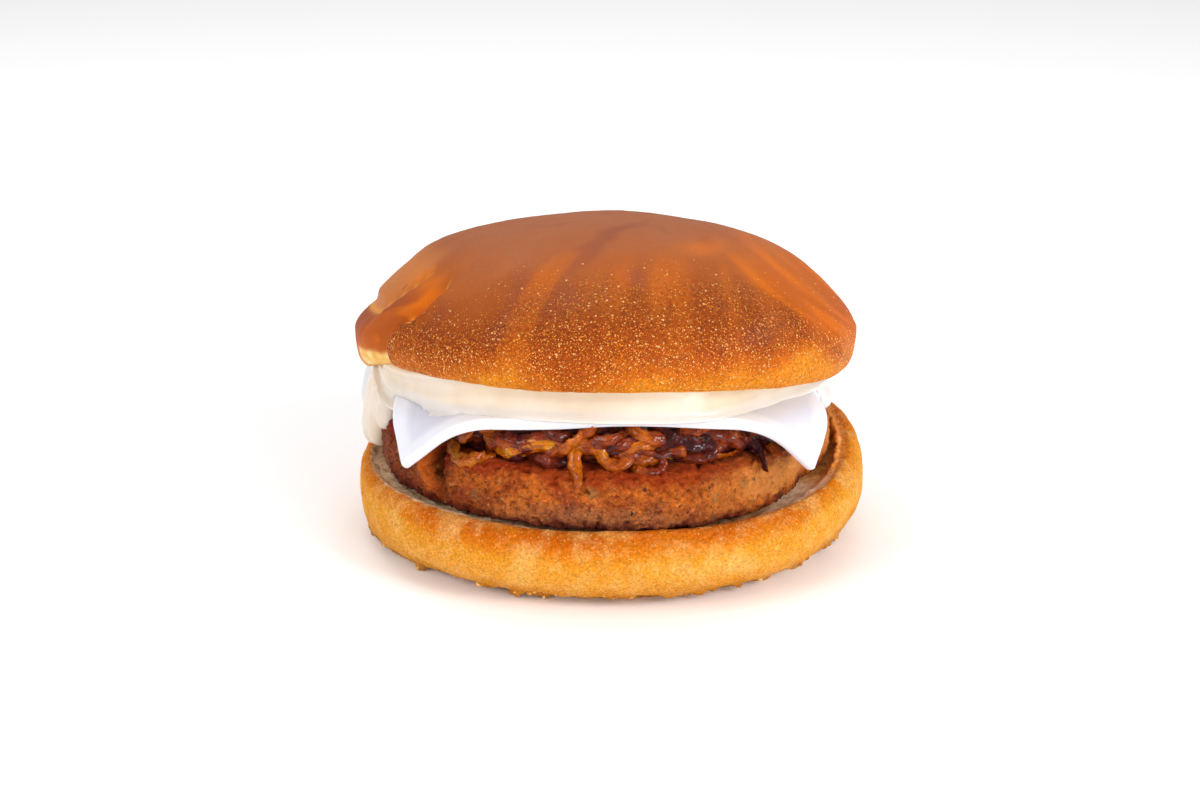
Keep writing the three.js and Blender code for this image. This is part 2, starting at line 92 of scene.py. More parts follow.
def add(tree, kind, inputs=None, stops=None, **settings):
    """A new node. `inputs` maps a socket's name or number to a value, to an output or to another
    node, and `stops` are the places and hex colours of a colour ramp."""
    node = tree.nodes.new(kind)
    for name, value in settings.items():
        setattr(node, name, value)
    for key, value in (inputs or {}).items():
        if isinstance(value, (bpy.types.Node, bpy.types.NodeSocket)):
            link(tree, value, node.inputs[key])
        elif isinstance(value, str) and value.startswith("#"):
            node.inputs[key].default_value = linear(value)
        else:
            node.inputs[key].default_value = value
    for number, (place, colour) in enumerate(stops or []):
        elements = node.color_ramp.elements
        element = elements[number] if number < 2 else elements.new(place)
        element.position = place
        element.color = linear(colour)
    return node


def new_material(name, glow_radius=None, **values):
    """A material, its tree, its Principled shader and its coordinates. The values are the same
    all over the surface. `glow_radius` is how far red, green and blue light spread inside."""
    material = bpy.data.materials.new(name)
    material.use_nodes = True
    tree = material.node_tree
    shader = tree.nodes["Principled BSDF"]
    for socket, value in values.items():
        shader.inputs[socket.replace("_", " ")].default_value = value
    if glow_radius:
        shader.inputs["Subsurface Radius"].default_value = glow_radius
    return material, tree, shader, add(tree, "ShaderNodeTexCoord").outputs["Object"]


# %% [markdown]
# ## Patterns that food is made of
#
# Bread, mash and crust all look alike in one way: clouds of lighter and darker colour, and
# thousands of small dots, each of its own size, of which only some show. Four short recipes make
# these from noise and Voronoi nodes. All sizes are in millimetres of the real food.


# %% Pattern recipes
def per_mm(size):
    """The scale of a pattern whose features are `size` mm wide, on coordinates in metres."""
    return 1 / (size * MM)


def clouds(tree, where, size, low=0.35, high=0.65, detail=3, roughness=0.55):
    """Soft patches from 0 to 1. A narrow range from `low` to `high` gives them crisp edges."""
    inputs = {"Vector": where, "Scale": per_mm(size), "Detail": detail, "Roughness": roughness}
    field = add(tree, "ShaderNodeTexNoise", inputs)
    return add(tree, "ShaderNodeMapRange", {"Value": field, "From Min": low, "From Max": high})


def dots(tree, where, spacing, radius, share, blur=0.5):
    """Round dots from 0 to 1. `radius` is a part of the spacing, and each dot has its own size.
    Only a `share` of them shows."""
    cells = add(tree, "ShaderNodeTexVoronoi", {"Vector": where, "Scale": per_mm(spacing)}).outputs
    chance = add(tree, "ShaderNodeSeparateColor", {0: cells["Color"]}).outputs
    size = add(tree, "ShaderNodeMapRange", {"Value": chance[1], "To Min": 0.45 * radius, "To Max": radius})
    inside = add(tree, "ShaderNodeMath", {0: cells["Distance"], 1: size}, operation="DIVIDE")
    fade = {"Value": inside, "From Min": 1 - blur, "From Max": 1, "To Min": 1, "To Max": 0}
    disc = add(tree, "ShaderNodeMapRange", fade)
    shown = add(tree, "ShaderNodeMath", {0: chance[0], 1: share}, operation="LESS_THAN")
    return add(tree, "ShaderNodeMath", {0: disc, 1: shown}, operation="MULTIPLY")


def layers(tree, colour, *rows):
    """Lays more colours over a colour: each row has a colour, a mask and how strongly it shows.
    The mask is a pattern, or the name of a painted one."""
    for over, mask, strength in rows:
        if isinstance(mask, str):
            mask = add(tree, "ShaderNodeAttribute", attribute_name=mask).outputs["Fac"]
        share = add(tree, "ShaderNodeMath", {0: mask, 1: strength}, operation="MULTIPLY", use_clamp=True)
        colour = add(tree, "ShaderNodeMix", {0: share, 6: colour, 7: over}, data_type="RGBA").outputs[2]
    return colour


def vary(tree, colour, mask, darkest, lightest):
    """Makes a colour darker and lighter by a mask."""
    amount = add(tree, "ShaderNodeMapRange", {"Value": mask, "To Min": darkest, "To Max": lightest})
    return add(tree, "ShaderNodeVectorMath", {0: colour, "Scale": amount}, operation="SCALE")


def surface(tree, shader, colour, bumps=()):
    """Joins the colour to the shader, and fine bumps: masks with the height in mm of each."""
    link(tree, colour, shader.inputs["Base Color"])
    height = 0.0
    for mask, rise in bumps:
        height = add(tree, "ShaderNodeMath", {0: mask, 1: rise, 2: height}, operation="MULTIPLY_ADD")
    if bumps:
        bump = add(tree, "ShaderNodeBump", {"Height": height, "Strength": 1.0, "Distance": MM})
        link(tree, bump, shader.inputs["Normal"])


# %% [markdown]
# ## Camera, floor and light
#
# The photograph looks down on the burger by 20 degrees from about 40 cm, with a lens that is
# longer than normal. Its place and lens were fitted to the outlines of the two buns.

# %% Camera
LOOK_DOWN = math.radians(20)
DISTANCE = 0.402
TARGET = Vector((-0.0019, 0, 0.0248))
LENS = 60.27
SENSOR = 36


def new_object(name, data):
    """A new object that is in the scene."""
    made = bpy.data.objects.new(name, data)
    bpy.context.scene.collection.objects.link(made)
    return made


camera = new_object("camera", bpy.data.cameras.new("camera"))
camera.data.lens = LENS
camera.data.sensor_width = SENSOR
camera.data.clip_start = 0.01
camera.location = TARGET + DISTANCE * Vector((0, -math.cos(LOOK_DOWN), math.sin(LOOK_DOWN)))
camera.rotation_euler = (math.pi / 2 - LOOK_DOWN, 0, 0)
bpy.context.scene.camera = camera
bpy.context.scene.view_settings.view_transform = "Standard"
print("camera at, m:", [round(value, 3) for value in camera.location])

# %% [markdown]
# A large soft lamp at the upper right, three weaker ones and a pale floor give the even light of
# a studio table, and a white world fills the shadows.

# %% World, lamps and floor
world = bpy.data.worlds.new("white_room")
bpy.context.scene.world = world
world.use_nodes = True
background = world.node_tree.nodes["Background"]
background.inputs["Color"].default_value = (1, 1, 1, 1)
background.inputs["Strength"].default_value = 0.55
LIT_POINT = Vector((0, 0, 0.03))


def soft_lamp(name, place, size, power):
    """A square lamp in metres and watts, turned towards the burger."""
    lamp = new_object(name, bpy.data.lights.new(name, "AREA"))
    lamp.data.size = size
    lamp.data.energy = power
    lamp.location = place
    lamp.rotation_euler = (LIT_POINT - lamp.location).to_track_quat("-Z", "Y").to_euler()


soft_lamp("key_lamp", (0.75, -0.6, 0.6), 0.4, 6.4)
soft_lamp("low_lamp", (0.45, -0.8, 0.16), 0.3, 3.2)
soft_lamp("fill_lamp", (-0.75, -0.45, 0.5), 0.5, 3.8)
soft_lamp("top_lamp", (-0.1, 0.25, 0.9), 0.8, 3.0)

FLOOR = 3.0
floor_mesh = bpy.data.meshes.new("floor")
corners = [(-FLOOR, -FLOOR, 0), (FLOOR, -FLOOR, 0), (FLOOR, FLOOR, 0), (-FLOOR, FLOOR, 0)]
floor_mesh.from_pydata(corners, [], [(0, 1, 2, 3)])
floor = new_object("floor", floor_mesh)
floor_material, _, floor_shader, _ = new_material("matt_white_table", Roughness=0.9)
floor_shader.inputs["Base Color"].default_value = (1, 1, 1, 1)
floor_mesh.materials.append(floor_material)
floor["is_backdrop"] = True


# %% [markdown]
# ## Round food from profiles
#
# Buns and patties are round but never even. Each is described by its profile, the line from the
# middle of the underside out round the edge to the middle of the top, and the profile changes a
# little with the angle. Turning a profile with the Spin tool gives an even piece only, so a
# function gives the profile at every angle, and a smooth curve is drawn through its points.
# Angles are in degrees from the front towards the right, and the functions take whole arrays.


# %% Curves round a circle
def lerp(a, b, t):
    return a + (b - a) * t


def smooth(x, low, high):
    """A soft step from 0 at `low` to 1 at `high`."""
    t = np.clip((x - low) / (high - low), 0, 1)
    return t * t * (3 - 2 * t)


def plateau(x, low, high, still_high, low_again):
    """Rises from 0 to 1 between the first two places and falls again between the last two."""
    return smooth(x, low, high) * (1 - smooth(x, still_high, low_again))


def near(x, at, width):
    """A bell of height 1 at one place."""
    return np.exp(-(((x - at) / width) ** 2))


def hill(angle, at, width):
    """A bell of height 1 at the angle `at`, on a circle."""
    return near((angle - at + 180) % 360 - 180, 0, width)


def all_round(count):
    """Angles in degrees from behind the burger once round it."""
    return np.linspace(-180, 180, count, False)


def uneven(angle, seed, waves=5):
    """A repeatable uneven line round a circle, within about 1 either way."""
    total = 0
    for k in range(1, waves + 1):
        total = total + np.sin(np.radians(angle) * (k + 1) + seed * (2.3 * k + 1)) / math.sqrt(k + 1)
    return total / math.sqrt(waves)


def draw_through(points, steps):
    """A smooth curve through points, along the first axis. `steps` is the number of pieces of
    each stretch. Also gives each point's place, counted in stretches."""
    points = np.asarray(points, float)
    padded = np.concatenate([points[:1], points, points[-1:]])
    rows, places = [], []
    for i, count in enumerate(steps):
        a, b, c, d = padded[i : i + 4]
        for step in range(count):
            t = step / count
            rows.append(
                0.5 * (2 * b + (c - a) * t + (2 * a - 5 * b + 4 * c - d) * t**2
                       + (3 * b - a - 3 * c + d) * t**3)
            )
            places.append(i + t)
    rows.append(points[-1])
    places.append(len(steps))
    return np.array(rows), np.array(places)


# %% [markdown]
# The profile at every angle gives a grid of points. Its first and last rings are the poles, which
# are single points, so that the piece is closed there.


# %% Meshes from rings
def turned(profile, angles, steps, centre=(0, 0)):
    """The vertices of a turned piece in mm, with the angle and the place on the profile of each.
    The first and the last ring are single points."""
    rings, places = draw_through([np.stack(np.broadcast_arrays(*pair)) for pair in profile(angles)], steps)
    radius, height = rings[:, 0], rings[:, 1]
    turn = np.radians(angles)[None, :]
    x = centre[0] + radius * np.sin(turn)
    y = centre[1] - radius * np.cos(turn)
    every = np.stack([x, y, height], -1)
    angle = np.broadcast_to(angles[None, :], radius.shape)
    place = np.broadcast_to(places[:, None], radius.shape)

    def flat(grid):
        return np.concatenate([grid[:1, 0], grid[1:-1].reshape(-1, *grid.shape[2:]), grid[-1:, 0]])

    return flat(every), flat(angle), flat(place), radius.shape


def ring_faces(shape):
    """Quads between rings, and fans of triangles at both poles."""
    rings, around = shape
    last = 1 + (rings - 2) * around
    faces = []
    for i in range(around):
        j = (i + 1) % around
        faces.append((0, 1 + j, 1 + i))
        faces.append((last, last - around + i, last - around + j))
    for k in range(rings - 3):
        start = 1 + k * around
        for i in range(around):
            j = (i + 1) % around
            faces.append((start + i, start + j, start + around + j, start + around + i))
    return faces


def new_piece(name, points_mm, faces):
    mesh = bpy.data.meshes.new(name)
    mesh.from_pydata((np.asarray(points_mm) * MM).tolist(), [], faces)
    mesh.shade_smooth()
    mesh.validate()
    return new_object(name, mesh)


# %% [markdown]
# ## Relief
#
# Baked dough, mash and crumb are rough at several scales at once. A bump in the material can't
# change an outline, so the coarser roughness is put into the mesh: every vertex moves along its
# normal by noise whose feature size is a real size in millimetres.


# %% Noise, relief and painted masks
def grain(points_mm, size, seed=0):
    """Noise from about -1 to 1, with features of `size` mm."""
    shift = Vector((17.3 * seed, 5.1 * seed, 9.7 * seed))
    return np.array([noise.noise(Vector(point) / size + shift) for point in points_mm])


def push(piece, amount_mm):
    """Moves each vertex along its normal."""
    mesh = piece.data
    count = len(mesh.vertices)
    normals = np.empty(3 * count, np.float32)
    mesh.vertex_normals.foreach_get("vector", normals)
    points = np.empty(3 * count, np.float32)
    mesh.vertices.foreach_get("co", points)
    moved = points.reshape(-1, 3) + normals.reshape(-1, 3) * np.asarray(amount_mm)[:, None] * MM
    mesh.vertices.foreach_set("co", moved.astype(np.float32).ravel())
    mesh.update()


def store(mesh, kind, **columns):
    """Stores one number or one direction for each vertex, under the name that it is given."""
    for name, column in columns.items():
        attribute = mesh.attributes.new(name, kind, "POINT")
        flat = np.asarray(column, np.float32).ravel()
        attribute.data.foreach_set("value" if kind == "FLOAT" else "vector", flat)


def paint(piece, **masks):
    """Stores masks from 0 to 1 on a piece, which its material reads by name."""
    store(piece.data, "FLOAT", **{name: np.clip(mask, 0, 1) for name, mask in masks.items()})


def finish_piece(piece, slot, *nodes):
    """Puts a finished piece in its place in the stack."""
    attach(piece, "root")
    if nodes:
        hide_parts(*nodes)
    triangles = sum(len(face.vertices) - 2 for face in piece.data.polygons)
    size = [round(1000 * side, 1) for side in piece.dimensions]
    print(f"{piece.name}: {triangles} triangles, {size} mm")


# %% [markdown]
# ## Lower bun: the shape
#
# The lower half of a soft roll: a flat foot that is smaller than the bun, a bulging side, and a
# rim that stands up round the cut face, because the patty has pressed the middle down. At the
# right the rim is higher and the crumb shows on its inner side. The bottom edge is ragged where
# the dough was torn from its neighbours in the tin.


# %% Lower bun profile
BUN_RADIUS = 50.2
HEEL_FACE = 14.6
HEEL_RIM = 16
HEEL_DEPTH = 0.955
FOOT_WIDE = 46.5
FOOT_DEEP = 39.5


def rim_height(angle):
    return HEEL_RIM + 3.4 * hill(angle, 100, 34) - 0.8 * hill(angle, -88, 20) + 0.3 * uneven(angle, 3, 7)


def heel_profile(angle):
    across = np.abs(np.sin(np.radians(angle)))
    along = np.abs(np.cos(np.radians(angle)))
    outer = BUN_RADIUS / (across**2.2 + (along / HEEL_DEPTH) ** 2.2) ** (1 / 2.2)
    outer = outer * (1 + 0.005 * uneven(angle, 1))
    foot = 1 / np.hypot(across / FOOT_WIDE, along / FOOT_DEEP)
    foot = foot + 2.2 * hill(angle, -80, 22) - 1.2 * hill(angle, -42, 18) - 1.5 * hill(angle, 60, 30)
    rim = rim_height(angle)
    crest = 0.94 + 0.018 * hill(angle, -78, 40)
    ragged = np.maximum(0, 0.9 * uneven(angle, 5, 12))
    raised = 1.8 * hill(angle, 72, 34)
    filled = 0.6 * hill(angle, 86, 36)
    return [
        (0 * foot, 0),
        (0.5 * foot, 0),
        (0.95 * foot, 0),
        (foot + ragged, 0.3 + 0.7 * ragged),
        (lerp(foot, outer, 0.55), 2.7 + 0.6 * ragged + 0.4 * raised),
        (lerp(foot, outer, 0.85), 5.6 + 0.8 * raised),
        (outer, 9 + raised),
        (0.997 * outer, 0.5 * (rim + 9.4 + raised)),
        ((crest + 0.03) * outer, rim - 1.1),
        (crest * outer, rim),
        ((crest - 0.028) * outer, rim - 0.5),
        (0.89 * outer, lerp(rim, HEEL_FACE, 0.7 - filled)),
        (0.84 * outer, HEEL_FACE + 0.1),
        (0.45 * outer, HEEL_FACE),
        (0 * outer, HEEL_FACE),
    ]


# %% [markdown]
# The stack's origin lies under the middle of its bounding box, and the profiles are drawn about
# the middle of the bun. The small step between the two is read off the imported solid.

# %% Lower bun mesh
HEEL_STEPS = [2, 2, 5, 9, 11, 14, 13, 12, 6, 6, 8, 6, 4, 2]
CREST = 9

heel_points, heel_angle, heel_place, heel_grid = turned(heel_profile, all_round(640), HEEL_STEPS)
low_corner, high_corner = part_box("bun_heel")
heel_middle = (np.array(low_corner) + np.array(high_corner)) / (2 * MM)
drawn_middle = (heel_points.min(0) + heel_points.max(0)) / 2
STEP_ASIDE = np.array([*(heel_middle - drawn_middle)[:2], 0])
print("step from the bun's middle to the origin, mm:", STEP_ASIDE.round(2))
heel_points[:, 2] = np.maximum(heel_points[:, 2], 0)

lower_bun = new_piece("lower_bun", heel_points + STEP_ASIDE, ring_faces(heel_grid))

# %% [markdown]
# The crust gets soft swells and a fine grain, and the crumb gets pores. The border between the
# two wanders along the rim, and crumb hangs from the torn edge at the foot in flaps. The masks
# that the finish needs are painted here, while the angle and the height of each vertex are at
# hand.


# %% Lower bun relief and masks
def points_of(piece):
    """The vertices in mm about the bun's middle."""
    flat = np.empty(3 * len(piece.data.vertices), np.float32)
    piece.data.vertices.foreach_get("co", flat)
    return flat.reshape(-1, 3) / MM - STEP_ASIDE


def keep_above_floor(piece):
    points = points_of(piece)
    points[:, 2] = np.maximum(points[:, 2], 0)
    piece.data.vertices.foreach_set("co", ((points + STEP_ASIDE) * MM).astype(np.float32).ravel())
    piece.data.update()


crumb_from = CREST - 0.05 + 0.5 * hill(heel_angle, 22, 24) + 0.3 * smooth(heel_angle, -50, -20)
in_crumb = smooth(heel_place + 0.35 * grain(heel_points, 1.6, 1), crumb_from, crumb_from + 0.3)
off_floor = smooth(heel_points[:, 2], 0, 0.5)
crust_relief = 0.2 * grain(heel_points, 9, 2) + 0.14 * grain(heel_points, 3.2, 3)
crust_relief += 0.07 * grain(heel_points, 0.9, 4)
pores = 0.5 * grain(heel_points, 2.6, 5) - 0.4 * np.maximum(0, grain(heel_points, 1.2, 6))
pores = pores * (0.12 + 0.88 * smooth(heel_place, CREST + 0.8, CREST + 2))
near_foot = 1 - smooth(heel_points[:, 2], 0.8, 3.2)
flaps = smooth(grain(heel_points * (1, 1, 0.4), 5, 8), -0.1, 0.15)
flaps = flaps + smooth(grain(heel_points, 2.6, 65), 0, 0.2)
torn = near_foot * (0.9 * flaps - 0.7 + 0.5 * grain(heel_points, 1.2, 7))
on_rim = near(heel_place, CREST, 0.5)
frayed = 0.18 * on_rim * grain(heel_points, 1.2, 9)
push(lower_bun, off_floor * (lerp(crust_relief, pores, in_crumb) + torn + frayed))
keep_above_floor(lower_bun)
level = heel_points[:, 2] / rim_height(heel_angle) + 0.09 * grain(heel_points, 11, 64)
paint(
    lower_bun,
    crumb=in_crumb,
    torn=near_foot * smooth(grain(heel_points, 2, 10), -0.1, 0.4),
    level=level - 0.14 * smooth(np.abs(heel_angle), 38, 62) - 0.08 * hill(heel_angle, 60, 40),
    # The wall at the right is its own toasted reddish orange, painted lighter as painted light where the
    # stack shades it.
    toasted=plateau(heel_angle, 58, 70, 125, 150),
    # Greyer and darker at the left: partly the crumb's own grey, partly painted shade.
    greyed=hill(heel_angle, -88, 26),
    # The bare crumb right of the front is pinkish and painted lighter: painted light where the stack shades
    # it.
    bare=hill(heel_angle, 56, 13),
    # Darker and redder under the patty's front: painted shade in the gap between the patty and the rim.
    oily=plateau(heel_angle, -34, -8, 36, 50),
    worn=smooth(grain(heel_points, 7, 66) + 0.6 * grain(heel_points, 2.2, 67), 0.05, 0.5),
)

# %% [markdown]
# ## Lower bun: the finish
#
# The crust of a soft roll is matt, golden where it touched the tin and orange-brown in a band
# under the rim, where the oven's heat reached it. It has fine grain like felt, pale floury patches
# and a few darker specks. The grain is drawn at half a millimetre, which is coarser than the real
# one, so that it shows. The crumb inside is pale beige. At the left it is a little greyer and
# darker, partly its own grey and partly painted shade. Under the patty's front it is painted
# darker and redder, a painted shade in the gap between the patty and the rim. Right of that it is
# pinkish and painted lighter, and on the wall at the right it is a toasted reddish orange, also
# painted lighter: both are painted light where the stack shades them. One material holds both,
# mixed by the painted mask, because they are one piece of bread with a blurred border. A little
# light goes through bread, so it gets some subsurface.

# %% Baked soft roll
bread, tree, shader, where = new_material(
    "baked_soft_roll", (1, 0.45, 0.2), Roughness=0.8, IOR=1.4, Subsurface_Weight=0.08,
    Subsurface_Scale=0.0008, Specular_IOR_Level=0.12,
)
floury = clouds(tree, where, 3.5, 0.48, 0.72, detail=6, roughness=0.65)
browner = clouds(tree, where, 5, 0.5, 0.72, detail=6, roughness=0.65)
felt = clouds(tree, where, 0.5, 0.34, 0.66, detail=3, roughness=0.7)
flour = dots(tree, where, 0.6, 0.42, 0.6)
brown_specks = dots(tree, where, 1.1, 0.26, 0.4)
soaked = clouds(tree, where, 1.4, 0.35, 0.65, detail=6, roughness=0.65)

up_the_side = add(tree, "ShaderNodeAttribute", attribute_name="level").outputs["Fac"]
crust = add(
    tree, "ShaderNodeValToRGB", {"Fac": up_the_side},
    [(0, "#c8883a"), (1, "#b45806"), (0.12, "#d4871f"), (0.4, "#eca038"), (0.66, "#e69626"),
     (0.8, "#d87810"), (0.92, "#c86004")],
)
crust = layers(tree, crust, ("#f6bc66", "worn", 0.3), ("#f8c67c", floury, 0.4), ("#d87f16", browner, 0.5))
crust = vary(tree, crust, felt, 0.7, 1.22)
crust = layers(
    tree, crust,
    ("#ffd490", flour, 0.35), ("#b05a0c", brown_specks, 0.5), ("#b8701c", "torn", 0.6),
)

toasted = add(
    tree, "ShaderNodeValToRGB", {"Fac": soaked},
    [(0, "#e07a18"), (1, "#ffc070"), (0.5, "#f89a3c")],
)
crumb = add(
    tree, "ShaderNodeValToRGB", {"Fac": soaked},
    [(0, "#b88458"), (1, "#ffe6c4"), (0.5, "#eebe8e")],
)
# Painted shade greys the crumb at the left and darkens it under the patty's front, and painted light
# lightens the bare and the toasted crumb at the right.
crumb = layers(
    tree, crumb,
    ("#d0a680", "greyed", 0.4), ("#ffcca4", "bare", 0.95),
    ("#b8662a", "oily", 0.7), (toasted, "toasted", 0.9),
)
colour = layers(tree, crust, (crumb, "crumb", 1))
surface(tree, shader, colour, [(felt, 0.16), (flour, 0.06), (floury, 0.15), (soaked, 0.25)])
lower_bun.data.materials.append(bread)
finish_piece(lower_bun, "lower_bun", "bun_heel")

# %% [markdown]
# ## Patty: the shape
#
# A thick disc of mashed beans and vegetables, shaped by hand and fried. Its edges are soft, its
# side is lumpy like coarse mash, and it has split open at one place at the left front. The disc
# is a turned profile too, with a narrow valley for the split, and stronger relief than bread.


# %% Patty profile and mesh
GAP = 0.35
PATTY_RADIUS = 44.3
PATTY_THICKNESS = 11.4
PATTY_CENTRE = (-0.8, -0.6)
PATTY_BOTTOM = HEEL_FACE + GAP
PATTY_TOP = PATTY_BOTTOM + PATTY_THICKNESS
SPLIT_ANGLE = -46


def split_angle(level):
    """The split leans: its angle at a share of the patty's height."""
    return SPLIT_ANGLE + 4 * (0.8 - level)


def patty_profile(angle):
    edge = PATTY_RADIUS * (1 + 0.008 * uneven(angle, 7, 8))
    edge = edge + 1.5 * hill(angle, 20, 16) + 1.5 * hill(angle, -62, 22)
    edge = edge + 0.7 * hill(angle, 42, 9) - 1.6 * hill(angle, 62, 9)

    def at(share, level, cut=0):
        slant = split_angle(level)
        split = 4.2 * hill(angle, slant, 1.6) - 1.2 * hill(angle, slant - 3.9, 2.2)
        return (share * edge - cut * split, PATTY_BOTTOM + level * PATTY_THICKNESS)

    middle = 0 * angle
    return [
        (middle, PATTY_BOTTOM),
        at(0.84, 0),
        at(0.955, 0.04),
        at(0.99, 0.17),
        at(1, 0.45, 0.35),
        at(0.997, 0.72, 0.9),
        at(0.98, 0.89, 1),
        at(0.945, 0.98, 0.8),
        at(0.87, 1, 0.2),
        at(0.45, 1),
        (middle, PATTY_TOP),
    ]


PATTY_STEPS = [2, 3, 9, 15, 17, 15, 13, 9, 7, 2]
patty_points, patty_angle, _, patty_grid = turned(
    patty_profile, all_round(900), PATTY_STEPS, PATTY_CENTRE
)
patty = new_piece("vegetable_patty", patty_points + STEP_ASIDE, ring_faces(patty_grid))


# %% [markdown]
# Four sizes of noise and a few pits make the mash rough. Its masks follow the height on the side
# and the angle, each blurred by noise: burnt at the bottom, seared at the top with painted shade
# under the onions in the same deep red, darker at the left and the back, and painted lighter and
# more orange at the right, a painted light on the side that the lamps reach.


# %% Patty relief and masks
lumps = 0.4 * grain(patty_points, 4.5, 11) + 0.4 * grain(patty_points, 1.9, 12)
grit = 0.34 * grain(patty_points, 0.9, 13) + 0.2 * grain(patty_points, 0.5, 14)
pits = -0.6 * smooth(grain(patty_points, 1.3, 15), 0.25, 0.55)
push(patty, lumps + grit + pits - 0.15)
level = (patty_points[:, 2] - PATTY_BOTTOM) / PATTY_THICKNESS
rough_level = level + 0.12 * grain(patty_points, 3, 16) + 0.1 * grain(patty_points, 0.9, 17)
wander = patty_angle - split_angle(level) + 0.6 * grain(patty_points, 2.5, 18)
round_side = patty_angle + 9 * grain(patty_points, 5, 20)
right_side = smooth(patty_angle + 8 * grain(patty_points, 6, 19), 18, 48)
right_side = right_side * (1 - smooth(patty_angle, 110, 160))
paint(
    patty,
    burnt=1 - smooth(rough_level, 0.06, 0.32),
    # The seared top edge also carries painted shade under the onions.
    seared=smooth(rough_level, 0.72, 0.98),
    browned=smooth(rough_level, 0.65, 0.3) * hill(patty_angle, -3, 26),
    # The split mask is painted shade in the crevice.
    split=near(wander, 0.4, 1.5) * smooth(rough_level, 0.35, 0.6),
    flap=near(wander, -3.4, 2) * smooth(rough_level, 0.15, 0.4),
    # Darker at the left and the back.
    fried=1 - smooth(round_side, -54, -20) + smooth(round_side, 100, 150),
    # Painted light: the right side is painted lighter and more orange.
    fresh=right_side * smooth(rough_level, 0.2, 0.5),
)

# %% [markdown]
# ## Patty: the finish
#
# Fried mash is reddish brown, with orange bits of vegetable, greenish-grey herb and dark skins of
# beans in it. Its bottom edge is burnt nearly black, and its top edge is seared a deep red-brown
# that also stands for painted shade under the onions. The split is painted dark inside, a painted
# shade in the crevice, with a bright orange flap beside it. Small Voronoi cells make the bits,
# each kind at its own real size, and noise makes the mash between them. It is moist with oil, so
# it has a dull gloss that breaks up with the grain.

# %% Fried vegetable mash
mash, tree, shader, where = new_material(
    "fried_vegetable_mash", (1, 0.35, 0.15), IOR=1.4, Subsurface_Weight=0.05, Subsurface_Scale=0.0005,
    Specular_IOR_Level=0.25, Roughness=0.4,
)
# Noise shifts the bits' outlines by part of this length, unevenly, so that no bit is a disc.
BITS_BENT = 1.6 * MM
bend = add(tree, "ShaderNodeTexNoise", {"Vector": where, "Scale": per_mm(0.9), "Detail": 3}).outputs["Color"]
bent = add(tree, "ShaderNodeVectorMath", {0: bend, 1: (BITS_BENT,) * 3, 2: where}, operation="MULTIPLY_ADD")
patches = clouds(tree, where, 5, 0.32, 0.68, detail=5)
colour = add(
    tree, "ShaderNodeValToRGB", {"Fac": patches},
    [(0, "#a8461a"), (1, "#e8843c"), (0.4, "#c2601f"), (0.7, "#d8701f")],
)
# The right is painted lighter as painted light, and the left and the back are darker.
colour = layers(
    tree, colour,
    ("#8a5c40", "browned", 0.65), ("#f9984a", "fresh", 0.9), ("#762004", "fried", 0.76),
)
fibres = clouds(tree, bent, 0.7, 0.35, 0.65, detail=6, roughness=0.8)
colour = vary(tree, colour, fibres, 0.5, 1.95)
# Colour, spacing in mm, radius and share of each kind of bit, how strongly it shows, and its height.
BITS = [
    ("#f0a868", 0.7, 0.42, 0.5, 0.7, 0.15),
    ("#5c1c0a", 0.8, 0.45, 0.36, 0.7, -0.25),
    ("#7e744c", 3.6, 0.5, 0.42, 0.5, 0),
    ("#f89430", 2.2, 0.36, 0.42, 0.85, 0.15),
    ("#7a1410", 1.7, 0.34, 0.35, 0.75, 0),
    ("#181e2c", 2.2, 0.3, 0.45, 0.95, 0),
]
bumps = [(fibres, 0.55)]
for bit_colour, spacing, radius, share, strength, height in BITS:
    bit = dots(tree, bent, spacing, radius, share)
    colour = layers(tree, colour, (bit_colour, bit, strength))
    if height:
        bumps.append((bit, height))
# The seared colour is partly painted shade under the onions, and the split is painted shade.
colour = layers(
    tree, colour,
    ("#ffa450", "fresh", 0.6), ("#b02c02", "seared", 0.75), ("#5e100e", "burnt", 0.85),
    ("#ee7420", "flap", 0.85), ("#200604", "split", 0.85),
)
surface(tree, shader, colour, bumps)
patty.data.materials.append(mash)
finish_piece(patty, "patty", "patty")

# %% [markdown]
# ## Cheese slice
#
# A square slice, about 80 mm a side and 2 mm thick. It lies on the onions, and past their edge
# it bends down under its own weight, most at the two front corners. The flat square is drawn as
# a grid, and a function says where each of its points goes: flat in the middle, then round a
# bend of a few millimetres, then straight on at the slope it has reached. That keeps the slice's
# true length, as cheese bends but doesn't stretch. The cut edge is rounded by a fraction of a mm.


# %% Cheese slice shape
HEAP_MIDDLE = 3.9
HEAP_SLOPE = -0.08
SLICE_SIDE = 80
SLICE_THICKNESS = 2.2
SLICE_CENTRE = (-0.5, 0.4)
SLICE_TURN = math.radians(0.5)


def heap_top(y):
    """Height of the heap's top, where the slice lies. It is piled higher at the front."""
    return PATTY_TOP + GAP + HEAP_MIDDLE + HEAP_SLOPE * y


